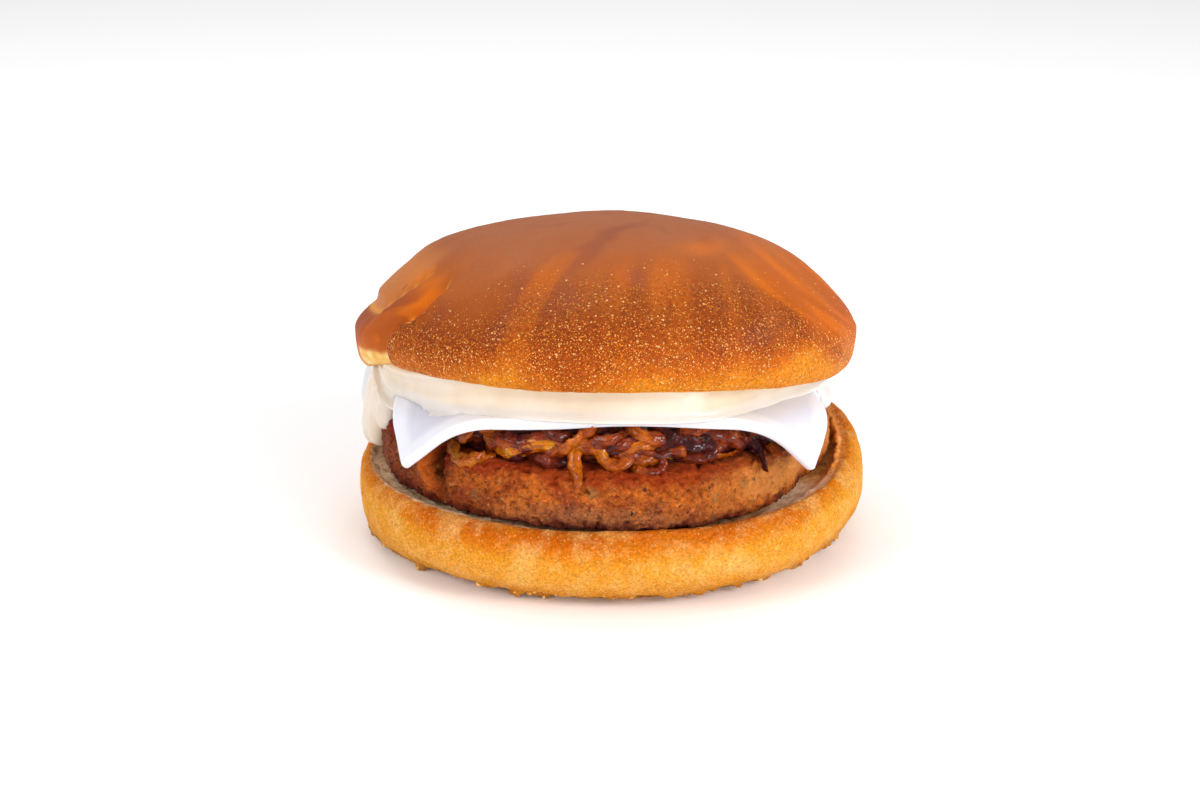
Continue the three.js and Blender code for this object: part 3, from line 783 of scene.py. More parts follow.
def draped(u, v, up):
    """Where a point of the flat slice goes. `up` is its height above the slice's underside."""
    x = SLICE_CENTRE[0] + u * math.cos(SLICE_TURN) - v * math.sin(SLICE_TURN)
    y = SLICE_CENTRE[1] + u * math.sin(SLICE_TURN) + v * math.cos(SLICE_TURN)
    reach = np.hypot(x, y)
    angle = np.degrees(np.arctan2(x, -y))
    left, right = hill(angle, -48, 13), hill(angle, 44, 13)
    side = hill(angle, 74, 18) + 0.6 * hill(angle, -76, 15)
    back = hill(angle, 138, 31) + hill(angle, -138, 31)
    rest = 45.5 - 4.2 * left - 2.9 * right - 10 * side - 6 * back
    radius = 9.5 - 2.5 * right - 4 * side - 4.5 * back
    steepest = np.radians(50 + 18 * right + 5 * back + 10 * side)
    over = np.maximum(0, reach - rest)
    slope = np.minimum(over / radius, steepest)
    straight = np.maximum(0, over - radius * slope)
    out = radius * np.sin(slope) + straight * np.cos(slope)
    down = radius * (1 - np.cos(slope)) + straight * np.sin(slope)
    share = (np.minimum(reach, rest) + out + up * np.sin(slope)) / np.maximum(reach, 1e-6)
    wave = 0.3 * np.sin(0.16 * x + 1) * smooth(-y, 0, 40)
    lying = heap_top(y * np.minimum(1, rest / np.maximum(reach, 1)))
    return np.stack([x * share, y * share, lying - down + wave + up * np.cos(slope)], -1)


def slice_sheet(steps, levels):
    """The slice as a closed sheet, with each point's distance from the cut edge. `levels` are
    pairs of height and inset, from the underside to the top: the first and the last are whole
    faces, the others go round the edge only."""

    def level_sheet(up, inset):
        half = SLICE_SIDE / 2 - inset
        u, v = np.meshgrid(*[np.linspace(-half, half, steps + 1)] * 2, indexing="ij")
        rounding = 1 - 0.012 * ((u / half) * (v / half)) ** 8
        from_edge = half - np.maximum(np.abs(u), np.abs(v))
        return np.concatenate([draped(u * rounding, v * rounding, up), from_edge[..., None]], -1)

    side = steps + 1
    whole = [level_sheet(*levels[row]).reshape(-1, 4) for row in (0, -1)]
    number = np.arange(side * side).reshape(side, side)
    edge = np.concatenate([number[:-1, 0], number[-1, :-1], number[:0:-1, -1], number[0, :0:-1]])
    loops = [edge] + [2 * side * side + k * len(edge) + np.arange(len(edge)) for k in range(len(levels) - 2)]
    loops.append(edge + side * side)
    rims = [level_sheet(*pair).reshape(-1, 4)[edge] for pair in levels[1:-1]]
    points = np.concatenate(whole + rims)
    a, b, c, d = number[:-1, :-1], number[1:, :-1], number[1:, 1:], number[:-1, 1:]
    under = np.stack([a, d, c, b], -1).reshape(-1, 4)
    over = np.stack([a, b, c, d], -1).reshape(-1, 4) + side * side
    walls = []
    for lower, upper in zip(loops, loops[1:]):
        walls.append(np.stack([lower, np.roll(lower, -1), np.roll(upper, -1), upper], -1))
    return points[:, :3], np.concatenate([under, over, *walls]).tolist(), points[:, 3]


# Height over the underside, and inset from the cut edge.
CUT_EDGE = [
    (0, 0.45), (0.12, 0.12), (0.55, 0), (1.1, -0.05), (1.65, 0), (2.08, 0.12), (SLICE_THICKNESS, 0.45)
]
slice_points, slice_faces, from_cut_edge = slice_sheet(110, CUT_EDGE)
cheese = new_piece("cheese_slice_draped", slice_points + STEP_ASIDE, slice_faces)
push(cheese, 0.12 * grain(slice_points, 9, 21))
# The edge mask is a painted highlight: the cut edge is painted paler where it bends towards the light.
paint(cheese, edge=1 - smooth(from_cut_edge + 0.8 * grain(slice_points, 7, 22), 1.8, 3.8))


# %% [markdown]
# Mild white cheese is smooth and close-grained, with a satin skin and light that spreads a
# millimetre or two under the surface, which softens its shadows. It is a cold white beside the
# warm mayonnaise. A band of about 3 mm along its cut edge is painted paler still, a painted
# highlight where the edge bends towards the light.

# %% Mild white cheese
dairy, tree, shader, where = new_material(
    "mild_white_cheese", (1, 0.95, 0.9), Roughness=0.42, IOR=1.45, Subsurface_Weight=0.3,
    Subsurface_Scale=0.0012, Specular_IOR_Level=0.25,
)
milky = clouds(tree, where, 14, detail=2)
skin = clouds(tree, where, 2.5, detail=2)
colour = add(tree, "ShaderNodeValToRGB", {"Fac": milky}, [(0, "#cccddb"), (1, "#d4d5e0")])
# The paler band along the cut edge is a painted highlight.
colour = layers(tree, colour, ("#e3e4ec", "edge", 0.85))
surface(tree, shader, colour, [(skin, 0.03)])
cheese.data.materials.append(dairy)
finish_piece(cheese, "cheese", "cheese_slice")

# %% [markdown]
# ## Onions: the imported heap
#
# Under the slice the onions are packed to a wet mass, and strips stand out of it. The mass is a
# turned ring with deep lumps. Its colour is dark, partly the fried onion's own and partly painted
# shade, nearly black in its hollows, so that the gaps between the strips look as deep as they are.


# %% Packed heap
HEAP_RADIUS = 38.2
STRIP_RADIUS = 41


def pressed_out(angle):
    """How much further the heap reaches under the slice's two front corners."""
    return 2 * (hill(angle, -42, 20) + hill(angle, 42, 20))


def core_profile(angle):
    outer = HEAP_RADIUS + pressed_out(angle) + 0.6 * uneven(angle, 19, 12)
    bottom = PATTY_TOP + 0.1
    top = heap_top(-outer * np.cos(np.radians(angle))) - 0.15
    return [
        (0 * outer, bottom),
        (0.9 * outer, bottom),
        (outer + 0.4, bottom + 0.5),
        (outer + 0.8, lerp(bottom, top, 0.5)),
        (outer - 0.2, top - 0.3),
        (0.9 * outer, top),
        (0 * outer, heap_top(0) - 0.15),
    ]


CORE_STEPS = [2, 4, 8, 8, 4, 2]
core_points, _, core_place, core_grid = turned(core_profile, all_round(480), CORE_STEPS)
onion_core = new_piece("onion_heap_core", core_points + STEP_ASIDE, ring_faces(core_grid))
on_flank = plateau(core_place, 1, 2, 4, 5)
push(onion_core, on_flank * (0.9 * grain(core_points, 2.8, 31) + 0.4 * grain(core_points, 1.2, 32) - 0.2))


# %% [markdown]
# ## Onions: the strips
#
# An onion is cut into strips that are a few millimetres wide, a millimetre or two thick and a
# little hollow, because each is a piece of a curved layer. Fried, they go limp, twist and
# wrinkle. Geometry Nodes sweep one hollow section along every path at once: each path carries
# its own width, the direction that its flat side faces, and a number for how dark it has fried.
# The paths at the front are placed one by one, as pairs of the place across the front and the
# height over the patty. Those at the sides and the back fall by a seeded rule.


# %% Strip paths at the front
# Width, how dark it is fried, whether its end is loose, and the way it runs.
FRONT_STRIPS = [
    (2.7, 0.36, True, [(-13, 8.2), (-5.3, 9), (-3.8, 7.6), (-7, 3.4), (-6.2, -2)]),
    (2.7, 0.34, False, [(-5, 6.4), (-2.6, 3.4), (-0.6, 1.2), (2.4, 1.7), (4.6, 5.8)]),
    (3.4, 0.42, True, [(2.2, 7.6), (5, 5.9), (9.4, 4.4)]),
    (1.7, 0.5, True, [(2.6, 1), (5, 0.2), (8.4, 0), (8.8, 1.6), (3.4, 3.2)]),
    (2.2, 0.4, True, [(10.2, 6.4), (15, 6.4), (17.8, 6.5), (19, 7.8)]),
    (2, 0.4, False, [(7.3, 7.3), (11.4, 8)]),
    (2.8, 0.58, True, [(14.4, 6), (18.6, 4.6), (22.4, 3), (23.8, 1.4)]),
    (2.5, 0.92, False, [(9.3, 4.1), (15.8, 3.4), (21, 0.8)]),
    (2.8, 0.95, True, [(22.8, 2.2), (26.4, 1.2), (28.4, -1.8)]),
    (2.5, 0.85, False, [(22.4, 5.6), (27.2, 3), (30.4, 0)]),
    (2.4, 0.4, True, [(27.6, 1.6), (29.8, 0.6), (31.2, -0.8)]),
    (2.8, 0.3, True, [(-23.6, 6), (-26.4, 4.4), (-28.4, 2)]),
    (3, 0.26, False, [(-30.4, 0.8), (-28.6, -0.4), (-23.8, 0.2), (-22, 1)]),
    (3.4, 0.6, False, [(-24.6, 3.4), (-20.5, 4), (-16.6, 4), (-11.4, 5.8), (-8.8, 4), (-10.4, 1.8)]),
    (3.2, 0.9, False, [(-21, 5.2), (-18.6, 2.2), (-15.4, 1.4)]),
    (3.3, 0.14, True, [(-17.6, 0.6), (-15.4, 3), (-9.4, 3.8)]),
    (2.9, 0.7, False, [(-15, 0.5), (-11.6, 0.7), (-7.8, 1.2)]),
    (2.4, 0.1, False, [(-16.6, 7.8), (-13.4, 8.6), (-12.4, 7.2), (-6.4, 8)]),
    (2.6, 0.88, False, [(-22, 6), (-15.6, 6.6)]),
]
SUNK_END = 2.5
RIGHT_DRIP = 78
DRIP_ANGLES = (-101, -90, -79, RIGHT_DRIP)


def flank_radius(height, aside):
    """Where a strip's middle line lies on the heap's flank, or lower down on the patty."""
    return STRIP_RADIUS + 1.6 * min(1, abs(aside) / 30) ** 2 - 0.22 * height + 1.3 * max(0, 1.2 - height)


def front_path(way, loose, inward=0):
    points = []
    for i, (x, height) in enumerate(way):
        sunk = SUNK_END if i == 0 or (i == len(way) - 1 and not loose) else 0
        radius = flank_radius(height, x) - sunk - inward
        points.append((x, -math.sqrt(radius**2 - x**2), PATTY_TOP + height))
    return points


# %% [markdown]
# The rule for the sides and the back draws where each strip starts, how far it goes round, how
# high it lies and whether it hangs down over the patty. No strip hangs where mayonnaise drips.


# %% Strip paths at the sides and the back
SHARES = (0, 0.35, 0.7, 1)
def random_from(seed):
    """Seeded numbers from 0 to 1, the same in every run."""
    state = seed
    while True:
        state = (state * 1664525 + 1013904223) % 4294967296
        yield state / 4294967296


def heap_point(angle, radius, height):
    """A point by its angle in degrees, its radius and its height over the patty."""
    turn = math.radians(angle)
    return radius * math.sin(turn), -radius * math.cos(turn), PATTY_TOP + height


def fallen_paths():
    """Paths that lie as they fell, lower where the heap is lower."""
    draw = random_from(17)
    paths = []
    angle = 62
    while angle < 300:
        start = angle + 6 * next(draw)
        room = heap_top(-STRIP_RADIUS * math.cos(math.radians(start))) - PATTY_TOP
        span = 9 + 9 * next(draw)
        high = room * (0.35 + 0.5 * next(draw))
        clear = all(hill(start + 0.5 * span, each, 24) < 0.4 for each in DRIP_ANGLES)
        hangs = next(draw) < 0.4 and clear
        low = -1.5 - 2 * next(draw) if hangs else 0.4
        points = []
        for i, share in enumerate(SHARES):
            height = lerp(high, low, share**1.5) + 0.7 * (next(draw) - 0.5)
            sunk = SUNK_END if i == 0 or (share == 1 and low > 0) else 0
            tucked = 3 * hill(start + span * share, RIGHT_DRIP, 15)
            radius = STRIP_RADIUS - sunk + 1.3 * max(0, 1.2 - height) - tucked
            points.append(heap_point(start + span * share, radius, height))
        paths.append((points, 2.2 + 1.1 * next(draw), (0.2 + 3.1 * start) % 1))
        angle += 10.5
    return paths


# %% [markdown]
# Between the strips that stand out lie many more, half hidden and mostly darker. They follow a
# seeded rule: short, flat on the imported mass, a little further in than the others.


# %% Half-hidden strips
def buried_paths(count=120):
    draw = random_from(29)
    paths = []
    for number in range(count):
        start = -180 + 360 * (number + next(draw)) / count
        span = (8 + 10 * next(draw)) * (1 if next(draw) < 0.5 else -1)
        room = heap_top(-HEAP_RADIUS * math.cos(math.radians(start))) - PATTY_TOP - 1
        first, last = (max(0.6, room * next(draw)) for _ in range(2))
        points = []
        for share in SHARES:
            sunk = 1.6 if share in (0, 1) else 0
            height = lerp(first, last, share) + 0.8 * (next(draw) - 0.5)
            radius = HEAP_RADIUS + 0.5 * pressed_out(start) + 1.3 - sunk + 1.2 * next(draw)
            points.append(heap_point(start + span * share, radius, max(0.5, height)))
        paths.append((points, 1.8 + 1.1 * next(draw), 0.25 + 0.6 * next(draw)))
    return paths


# %% [markdown]
# Each path becomes a poly-line through its points. Along it the width swells and shrinks, the
# colour drifts, and the strip twists. All of these are stored at the points, and so is the place
# along the strip, for the fibres.


# %% Lay out every path
PATH_STEP = 0.5


def lay_paths(paths):
    """One object of poly-lines, with each point's half width, facing, darkness, twist and
    place along its strip in mm."""
    points, edges, facing = [], [], []
    girth, dark, twist, along = [], [], [], []
    for number, (way, width, darkness) in enumerate(paths):
        way = np.array(way)
        length = np.linalg.norm(np.diff(way, axis=0), axis=1)
        line, _ = draw_through(way, [max(2, round(each / PATH_STEP)) for each in length])
        share = np.linspace(0, 1, len(line))
        body = 0.4 + 0.6 * np.minimum(1, 6 * np.minimum(share, 1 - share)) ** 0.6
        wobble = 1 + 0.3 * grain(line, 3.2, 40 + number) + 0.15 * grain(line, 1.2, 140 + number)
        out = line * (1, 1, 0)
        out = out / np.linalg.norm(out, axis=1)[:, None]
        first = len(points)
        points.extend(line)
        edges.extend((first + i, first + i + 1) for i in range(len(line) - 1))
        girth.extend(0.5 * width * body * wobble * MM)
        facing.extend(out)
        dark.extend(np.clip(darkness + 0.22 * grain(line, 4, 41 + number), 0, 1))
        twist.extend(1.6 * grain(line, 8, 42 + number))
        along.extend(50 * number + share * length.sum())
    piece = new_piece("onion_strips", np.array(points) + STEP_ASIDE, [])
    piece.data.edges.add(len(edges))
    piece.data.edges.foreach_set("vertices", np.array(edges, np.int32).ravel())
    store(piece.data, "FLOAT", girth=girth, darkness=dark, twist=twist, along=along)
    store(piece.data, "FLOAT_VECTOR", facing=facing)
    piece.data.update()
    return piece


front_paths = [(front_path(way, loose), width, dark) for width, dark, loose, way in FRONT_STRIPS]
onion_strips = lay_paths(front_paths + fallen_paths() + buried_paths())
print("points on the strips' paths:", len(onion_strips.data.vertices))


# %% [markdown]
# A tree of Geometry Nodes gets its sizes through inputs with names, and ends in real geometry
# with a material. What it makes is kept as a plain mesh, because the part is used without it.


# %% Trees of Geometry Nodes
def new_tree(name, **inputs):
    """A geometry tree whose inputs have names, listed by their kind, and its input sockets."""
    tree = bpy.data.node_groups.new(name, "GeometryNodeTree")
    tree.interface.new_socket("Geometry", in_out="INPUT", socket_type="NodeSocketGeometry")
    for kind, names in inputs.items():
        for each in names:
            tree.interface.new_socket(each, in_out="INPUT", socket_type="NodeSocket" + kind)
    tree.interface.new_socket("Geometry", in_out="OUTPUT", socket_type="NodeSocketGeometry")
    return tree, add(tree, "NodeGroupInput").outputs


def end_tree(tree, geometry, finish):
    """Every tree ends alike: real geometry, its material and the output."""
    real = add(tree, "GeometryNodeRealizeInstances", {0: geometry})
    dressed = add(tree, "GeometryNodeSetMaterial", {"Geometry": real, "Material": finish})
    add(tree, "NodeGroupOutput", {0: dressed})


def keep_result(piece):
    """Keeps what the modifiers make of a piece as its plain mesh, without the modifiers."""
    evaluated = piece.evaluated_get(bpy.context.evaluated_depsgraph_get())
    made = bpy.data.meshes.new_from_object(evaluated)
    piece.modifiers.clear()
    old = piece.data
    piece.data = made
    made.name = piece.name
    bpy.data.meshes.remove(old)


def run_tree(piece, tree, values):
    """Runs a tree on a piece and keeps the result."""
    modifier = piece.modifiers.new(tree.name, "NODES")
    modifier.node_group = tree
    for item in tree.interface.items_tree:
        if item.in_out == "INPUT" and item.name in values:
            modifier[item.identifier] = values[item.name]
    keep_result(piece)


# %% [markdown]
# The tree below turns the poly-lines into curves, gives each point its facing and its twist, and
# sweeps a section along them. The section starts as a circle, is flattened, and is bent so that
# its middle is proud. Each point of the section keeps its place across the strip, so that the
# finish can draw fibres lengthwise. Noise along the normals then wrinkles the swept skin.

# %% Geometry Nodes: sweep the strips
sweep, given = new_tree(
    "sweep_onion_strips",
    Float=["Thickness Share", "Hollow", "Wrinkle Height", "Wrinkle Scale"],
    Material=["Finish"],
)
half_width, facing, twist = [
    add(sweep, "GeometryNodeInputNamedAttribute", {"Name": name}, data_type=kind)
    for name, kind in (("girth", "FLOAT"), ("facing", "FLOAT_VECTOR"), ("twist", "FLOAT"))
]
curves = add(sweep, "GeometryNodeMeshToCurve", {0: given["Geometry"]})
faced = add(sweep, "GeometryNodeSetCurveNormal", {"Curve": curves, "Normal": facing}, mode="FREE")
twisted = add(sweep, "GeometryNodeSetCurveTilt", {"Curve": faced, "Tilt": twist})
circle = add(sweep, "GeometryNodeCurvePrimitiveCircle", {"Resolution": 12, "Radius": 1})
place = add(sweep, "GeometryNodeInputPosition")
across = add(sweep, "ShaderNodeSeparateXYZ", {0: place}).outputs["Y"]
marked = add(
    sweep, "GeometryNodeStoreNamedAttribute", {"Geometry": circle, "Name": "across", "Value": across},
    data_type="FLOAT", domain="POINT",
)
flatter = add(sweep, "ShaderNodeCombineXYZ", {"X": given["Thickness Share"], "Y": 1, "Z": 1})
section = add(sweep, "GeometryNodeTransform", {"Geometry": marked, "Scale": flatter})
square = add(sweep, "ShaderNodeMath", {0: across, 1: across}, operation="MULTIPLY")
bend = add(sweep, "ShaderNodeMath", {0: square, 1: given["Hollow"]}, operation="MULTIPLY")
bend_offset = add(sweep, "ShaderNodeCombineXYZ", {"X": bend})
hollow = add(sweep, "GeometryNodeSetPosition", {"Geometry": section, "Offset": bend_offset})
swept = add(
    sweep, "GeometryNodeCurveToMesh",
    {"Curve": twisted, "Profile Curve": hollow, "Scale": half_width, "Fill Caps": True},
)
wrinkle = add(sweep, "ShaderNodeTexNoise", {"Scale": given["Wrinkle Scale"], "Detail": 3})
centred = add(sweep, "ShaderNodeMath", {0: wrinkle, 1: 0.5}, operation="SUBTRACT")
height = add(sweep, "ShaderNodeMath", {0: centred, 1: given["Wrinkle Height"]}, operation="MULTIPLY")
normal = add(sweep, "GeometryNodeInputNormal")
offset = add(sweep, "ShaderNodeVectorMath", {0: normal, "Scale": height}, operation="SCALE")
wrinkled = add(sweep, "GeometryNodeSetPosition", {"Geometry": swept, "Offset": offset})
soft = add(sweep, "GeometryNodeSetShadeSmooth", {"Geometry": wrinkled, "Shade Smooth": True})
end_tree(sweep, soft, given["Finish"])


# %% [markdown]
# ## Onions: the finish
#
# Onions fried slowly in oil turn from clear gold to amber, red-brown and at last a purple black,
# and stay wet and shiny. Light passes through the pale ones. The painted darkness picks the
# colour, noise shifts it along a strip, and fine lines run in it like the fibres of the layer.
# A clear coat stands for the oil.

# %% Caramelised onion
caramel, tree, shader, where = new_material(
    "caramelised_onion", (1, 0.4, 0.12), Roughness=0.3, IOR=1.42, Subsurface_Weight=0.25,
    Subsurface_Scale=0.0008, Specular_IOR_Level=0.1, Coat_Weight=0.48, Coat_Roughness=0.05,
)
blotches = clouds(tree, where, 2.2, 0.3, 0.7, detail=4)
darkness = add(tree, "ShaderNodeAttribute", attribute_name="darkness").outputs["Fac"]
shifted = add(tree, "ShaderNodeMath", {0: blotches, 1: 0.3, 2: darkness}, operation="MULTIPLY_ADD")
centred = add(tree, "ShaderNodeMath", {0: shifted, 1: 0.15}, operation="SUBTRACT")
colour = add(
    tree, "ShaderNodeValToRGB", {"Fac": centred},
    [(0, "#da8c18"), (1, "#42141a"), (0.16, "#cc7008"), (0.34, "#b45202"), (0.54, "#8c2e04"),
     (0.76, "#5c1a0e")],
)
along, across = [
    add(tree, "ShaderNodeAttribute", attribute_name=name).outputs["Fac"] for name in ("along", "across")
]
lengthwise = add(tree, "ShaderNodeCombineXYZ", {"X": along, "Y": across})
# Fibres are about 3 mm long, and six or so lie side by side.
drawn_out = add(tree, "ShaderNodeVectorMath", {0: lengthwise, 1: (0.3, 3.2, 1)}, operation="MULTIPLY")
fibres = add(tree, "ShaderNodeTexNoise", {"Vector": drawn_out, "Scale": 1, "Detail": 4, "Roughness": 0.6})
fibre = add(tree, "ShaderNodeMapRange", {"Value": fibres, "From Min": 0.32, "From Max": 0.68})
pucker = clouds(tree, where, 0.8, 0.3, 0.7, detail=4)
colour = vary(tree, colour, fibre, 0.68, 1.24)
colour = vary(tree, colour, pucker, 0.75, 1.2)
surface(tree, shader, colour, [(fibre, 0.4), (pucker, 0.25), (blotches, 0.5)])

# %% [markdown]
# Now that the strips' finish is there, the tree can run: each strip is three tenths as thick as
# it is wide, and wrinkled by up to almost a millimetre.

# %% Sweep the strips
run_tree(
    onion_strips, sweep,
    {
        "Thickness Share": 0.3, "Hollow": -0.45, "Wrinkle Height": 1.8 * MM, "Wrinkle Scale": per_mm(1.5),
        "Finish": caramel,
    },
)
finish_piece(onion_strips, "onions", "onions")

# %% [markdown]
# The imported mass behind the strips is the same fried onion, but in the shade and pressed flat, so
# it is darker and duller, with broad blotches and no fibres.

# %% Packed dark onion
packed, tree, shader, where = new_material(
    "packed_dark_onion", Roughness=0.45, Specular_IOR_Level=0.05, Coat_Weight=0.14, Coat_Roughness=0.1
)
blotches = clouds(tree, where, 2.5, 0.3, 0.7, detail=5)
# The dark ramp is partly the onion's own colour and partly painted shade.
colour = add(
    tree, "ShaderNodeValToRGB", {"Fac": blotches},
    [(0, "#1e0808"), (1, "#782c0c"), (0.55, "#421410")],
)
surface(tree, shader, colour, [(blotches, 0.8)])
onion_core.data.materials.append(packed)
finish_piece(onion_core, "onions", "onions")

# %% [markdown]
# ## Mayonnaise: the shape
#
# Thick mayonnaise has been squeezed out between the cheese and the upper bun. It stands in a
# soft roll round the front, and has run down at the far left and a little at the right. The
# layer and the drips start as separate closed forms. A voxel remesh melts them into one skin,
# the slice that it lies on is cut out of it, and smoothing rounds every edge as a thick sauce
# rounds itself.


# %% Mayonnaise layer and drips
MAYO_RADIUS = 40.4
DRIP_LEAN = 4
# Angle, radius, top and bottom height, width and depth of each drip.
DRIPS = [
    (-101, 49.1, 33.5, 20, 11.5, 6.4),
    (-95, 46.8, 33, 18.6, 13, 7.4),
    (-89, 47.2, 34, 15.6, 10.5, 6.6),
    (-83.5, 46.2, 33.5, 17, 9.5, 6.2),
    (-76, 45.2, 34, 22.6, 8, 5.4),
    (RIGHT_DRIP, 42, 33.5, 26.4, 9, 5),
]


def mayo_profile(angle):
    lobes = 0.9 * uneven(angle, 23, 9) + 0.6 * hill(angle, 3, 14) + 0.5 * hill(angle, -18, 9)
    lobes = lobes + 0.3 * uneven(angle, 31, 24)
    left = hill(angle, -64, 20)
    front = 3.8 * hill(angle, -40, 14) + 2.2 * hill(angle, 24, 14)
    spread = 5 * hill(angle, -96, 20) + 4.6 * left + 1.5 * hill(angle, 70, 20) + front
    low = heap_top(-MAYO_RADIUS * np.cos(np.radians(angle))) + SLICE_THICKNESS - 1 - 3 * left
    outer = MAYO_RADIUS + lobes + spread
    return [
        (0 * outer, heap_top(0)),
        (outer - 1.2, low),
        (outer, low + 2),
        (outer + 0.9, low + 4),
        (outer, low + 6.5),
        (outer - 2, low + 10),
        (0 * outer, heap_top(0) + 10),
    ]


def drip_rings(angle, radius, top, bottom, width, depth, sides=28, rings=26):
    """Rings round a line that runs down from under the upper bun and ends in a round tip."""
    turn = math.radians(angle)
    outward = np.array([math.sin(turn), -math.cos(turn), 0])
    across = np.array([math.cos(turn), math.sin(turn), 0])
    round_ring = np.linspace(0, 2 * math.pi, sides, False)
    points = []
    for share in np.linspace(0, 1, rings):
        size = math.sqrt(max(0, 1 - (max(0, share - 0.7) / 0.3) ** 2)) * (1 - 0.15 * math.sin(3 * share))
        centre = outward * (radius - DRIP_LEAN * (1 - share) ** 3) + (0, 0, lerp(top, bottom, share))
        ring = centre + 0.5 * size * (
            width * np.cos(round_ring)[:, None] * across + depth * np.sin(round_ring)[:, None] * outward
        )
        points.append(ring)
    grid = np.array(points)
    inner = grid[1:-1].reshape(-1, 3)
    return np.concatenate([grid[:1].mean(1), inner, grid[-1:].mean(1)]), (rings, sides)


# %% [markdown]
# The voxels are half a millimetre wide, fine enough for the drips' tips. The slice is cut away
# with a copy of itself that reaches further down, so that nothing is left under it.


# %% Melt, cut and smooth the mayonnaise
def joined(name, parts):
    """One object from several sets of points and faces."""
    points, faces = [], []
    for part_points, part_faces in parts:
        first = sum(len(each) for each in points)
        points.append(part_points)
        faces.extend(tuple(first + corner for corner in face) for face in part_faces)
    return new_piece(name, np.concatenate(points) + STEP_ASIDE, faces)


def melt(piece, voxel_mm, rounds):
    """Melts forms that overlap into one skin and smooths it."""
    piece.modifiers.new("melt", "REMESH").voxel_size = voxel_mm * MM
    rounder = piece.modifiers.new("round", "SMOOTH")
    rounder.factor = 0.6
    rounder.iterations = rounds
    keep_result(piece)


def turn_outward(piece):
    """Turns the faces of a closed mesh outwards: its volume is negative where they point in."""
    corners = points_of(piece)[[face.vertices[:3] for face in piece.data.polygons]]
    if np.einsum("ij,ij", corners[:, 0], np.cross(corners[:, 1], corners[:, 2])) < 0:
        piece.data.flip_normals()


mayo_points, _, _, mayo_grid = turned(mayo_profile, all_round(360), [3, 6, 6, 6, 6, 3])
mayo_parts = [(mayo_points, ring_faces(mayo_grid))]
for row in DRIPS:
    drip_points, drip_grid = drip_rings(*row)
    mayo_parts.append((drip_points, ring_faces(drip_grid)))
mayo = joined("mayonnaise_layer", mayo_parts)
melt(mayo, voxel_mm=0.5, rounds=14)

CUTTER_DEPTH = 8
cutter_points, cutter_faces, _ = slice_sheet(48, [(0, 0), (SLICE_THICKNESS - 0.3, 0)])
underside = len(cutter_points) // 2
cutter_points[:underside, 2] -= CUTTER_DEPTH
cutter = new_piece("slice_cutter", cutter_points + STEP_ASIDE, cutter_faces)
cut = mayo.modifiers.new("cut", "BOOLEAN")
cut.object = cutter
cut.operation = "DIFFERENCE"
cut.solver = "MANIFOLD"
melt(mayo, voxel_mm=0.46, rounds=6)
bpy.data.objects.remove(cutter)
mayo.data.shade_smooth()
turn_outward(mayo)


# %% [markdown]
# ## Mayonnaise: the finish
#
# Mayonnaise is an emulsion of oil and egg: opaque, cream coloured and glossy like wet paint.
# Light spreads well inside it. Where it is thick it is warmer. The lobe at the far left and the
# one at the right are painted cooler and whiter, a painted reflection of the white room, and so
# is the thin lower edge over the cheese, where the whiter colour is a painted highlight.

# %% Egg mayonnaise
cream, tree, shader, where = new_material(
    "egg_mayonnaise", (1, 0.8, 0.55), Roughness=0.22, IOR=1.47, Subsurface_Weight=0.4,
    Subsurface_Scale=0.0018, Specular_IOR_Level=0.35,
)
mayo_spots = points_of(mayo)
mayo_turn = np.degrees(np.arctan2(mayo_spots[:, 0], -mayo_spots[:, 1]))
mayo_out = np.hypot(mayo_spots[:, 0], mayo_spots[:, 1])
over_slice = mayo_spots[:, 2] - heap_top(mayo_spots[:, 1]) - SLICE_THICKNESS
thin_edge = (1 - smooth(over_slice, 0.3, 2.2)) * (1 - hill(mayo_turn, -88, 22))
far_left = plateau(mayo_turn, -120, -112, -96, -88) * smooth(mayo_spots[:, 2], 19, 23)
far_right = plateau(mayo_turn, 50, 66, 95, 120)
# Painted light: a painted reflection on the two end lobes and a painted highlight on the thin edge.
cool = np.maximum.reduce([0.6 * thin_edge, far_left, 0.8 * far_right])
paint(mayo, cool=cool * smooth(mayo_out, 38, 41))
streaks = clouds(tree, where, 12, detail=2)
swirl = clouds(tree, where, 3.5, detail=2)
colour = add(tree, "ShaderNodeValToRGB", {"Fac": streaks}, [(0, "#d2bda2"), (1, "#ddcebc")])
colour = layers(tree, colour, ("#cfd0d4", "cool", 0.9))
surface(tree, shader, colour, [(swirl, 0.06)])
mayo.data.materials.clear()
mayo.data.materials.append(cream)
finish_piece(mayo, "mayonnaise", "mayonnaise")

# %% [markdown]
# ## Upper bun: the shape
#
# The upper half is a low dome whose side turns in under it to a soft edge. When the dough rose
# it folded at the left front: a valley climbs from the rim, gentle on its left side, where the
# dough lies in a roll, and steep on its right, where a lip stands proud. A second, softer groove
# runs above the roll and on round the left side, where it notches the outline. The profile is
# drawn upright about the bun's own middle and then tipped back.


# %% Upper bun profile
CROWN_RADIUS = 49.3
CROWN_RISE = 23.2
CROWN_SKIRT = 5
CROWN_TILT = math.radians(-10.5)
CROWN_CENTRE = np.array([-1.2, 0, 39.6])
CROWN_HOLLOW = 4.4
FOLD_ANGLE = -49
DOME_RINGS = [88, 83, 78, 73, 68, 63, 58, 53, 48, 43, 38, 33, 28, 22, 15, 8]


def fold_line(radius):
    """The angle of the fold's deepest line at a distance from the middle."""
    return FOLD_ANGLE - 9 * smooth(radius, 45, 49.6)


def groove_radius(angle):
    """How far from the middle the second groove runs."""
    return 46.5 - 8.5 * smooth(angle, -69, -55)


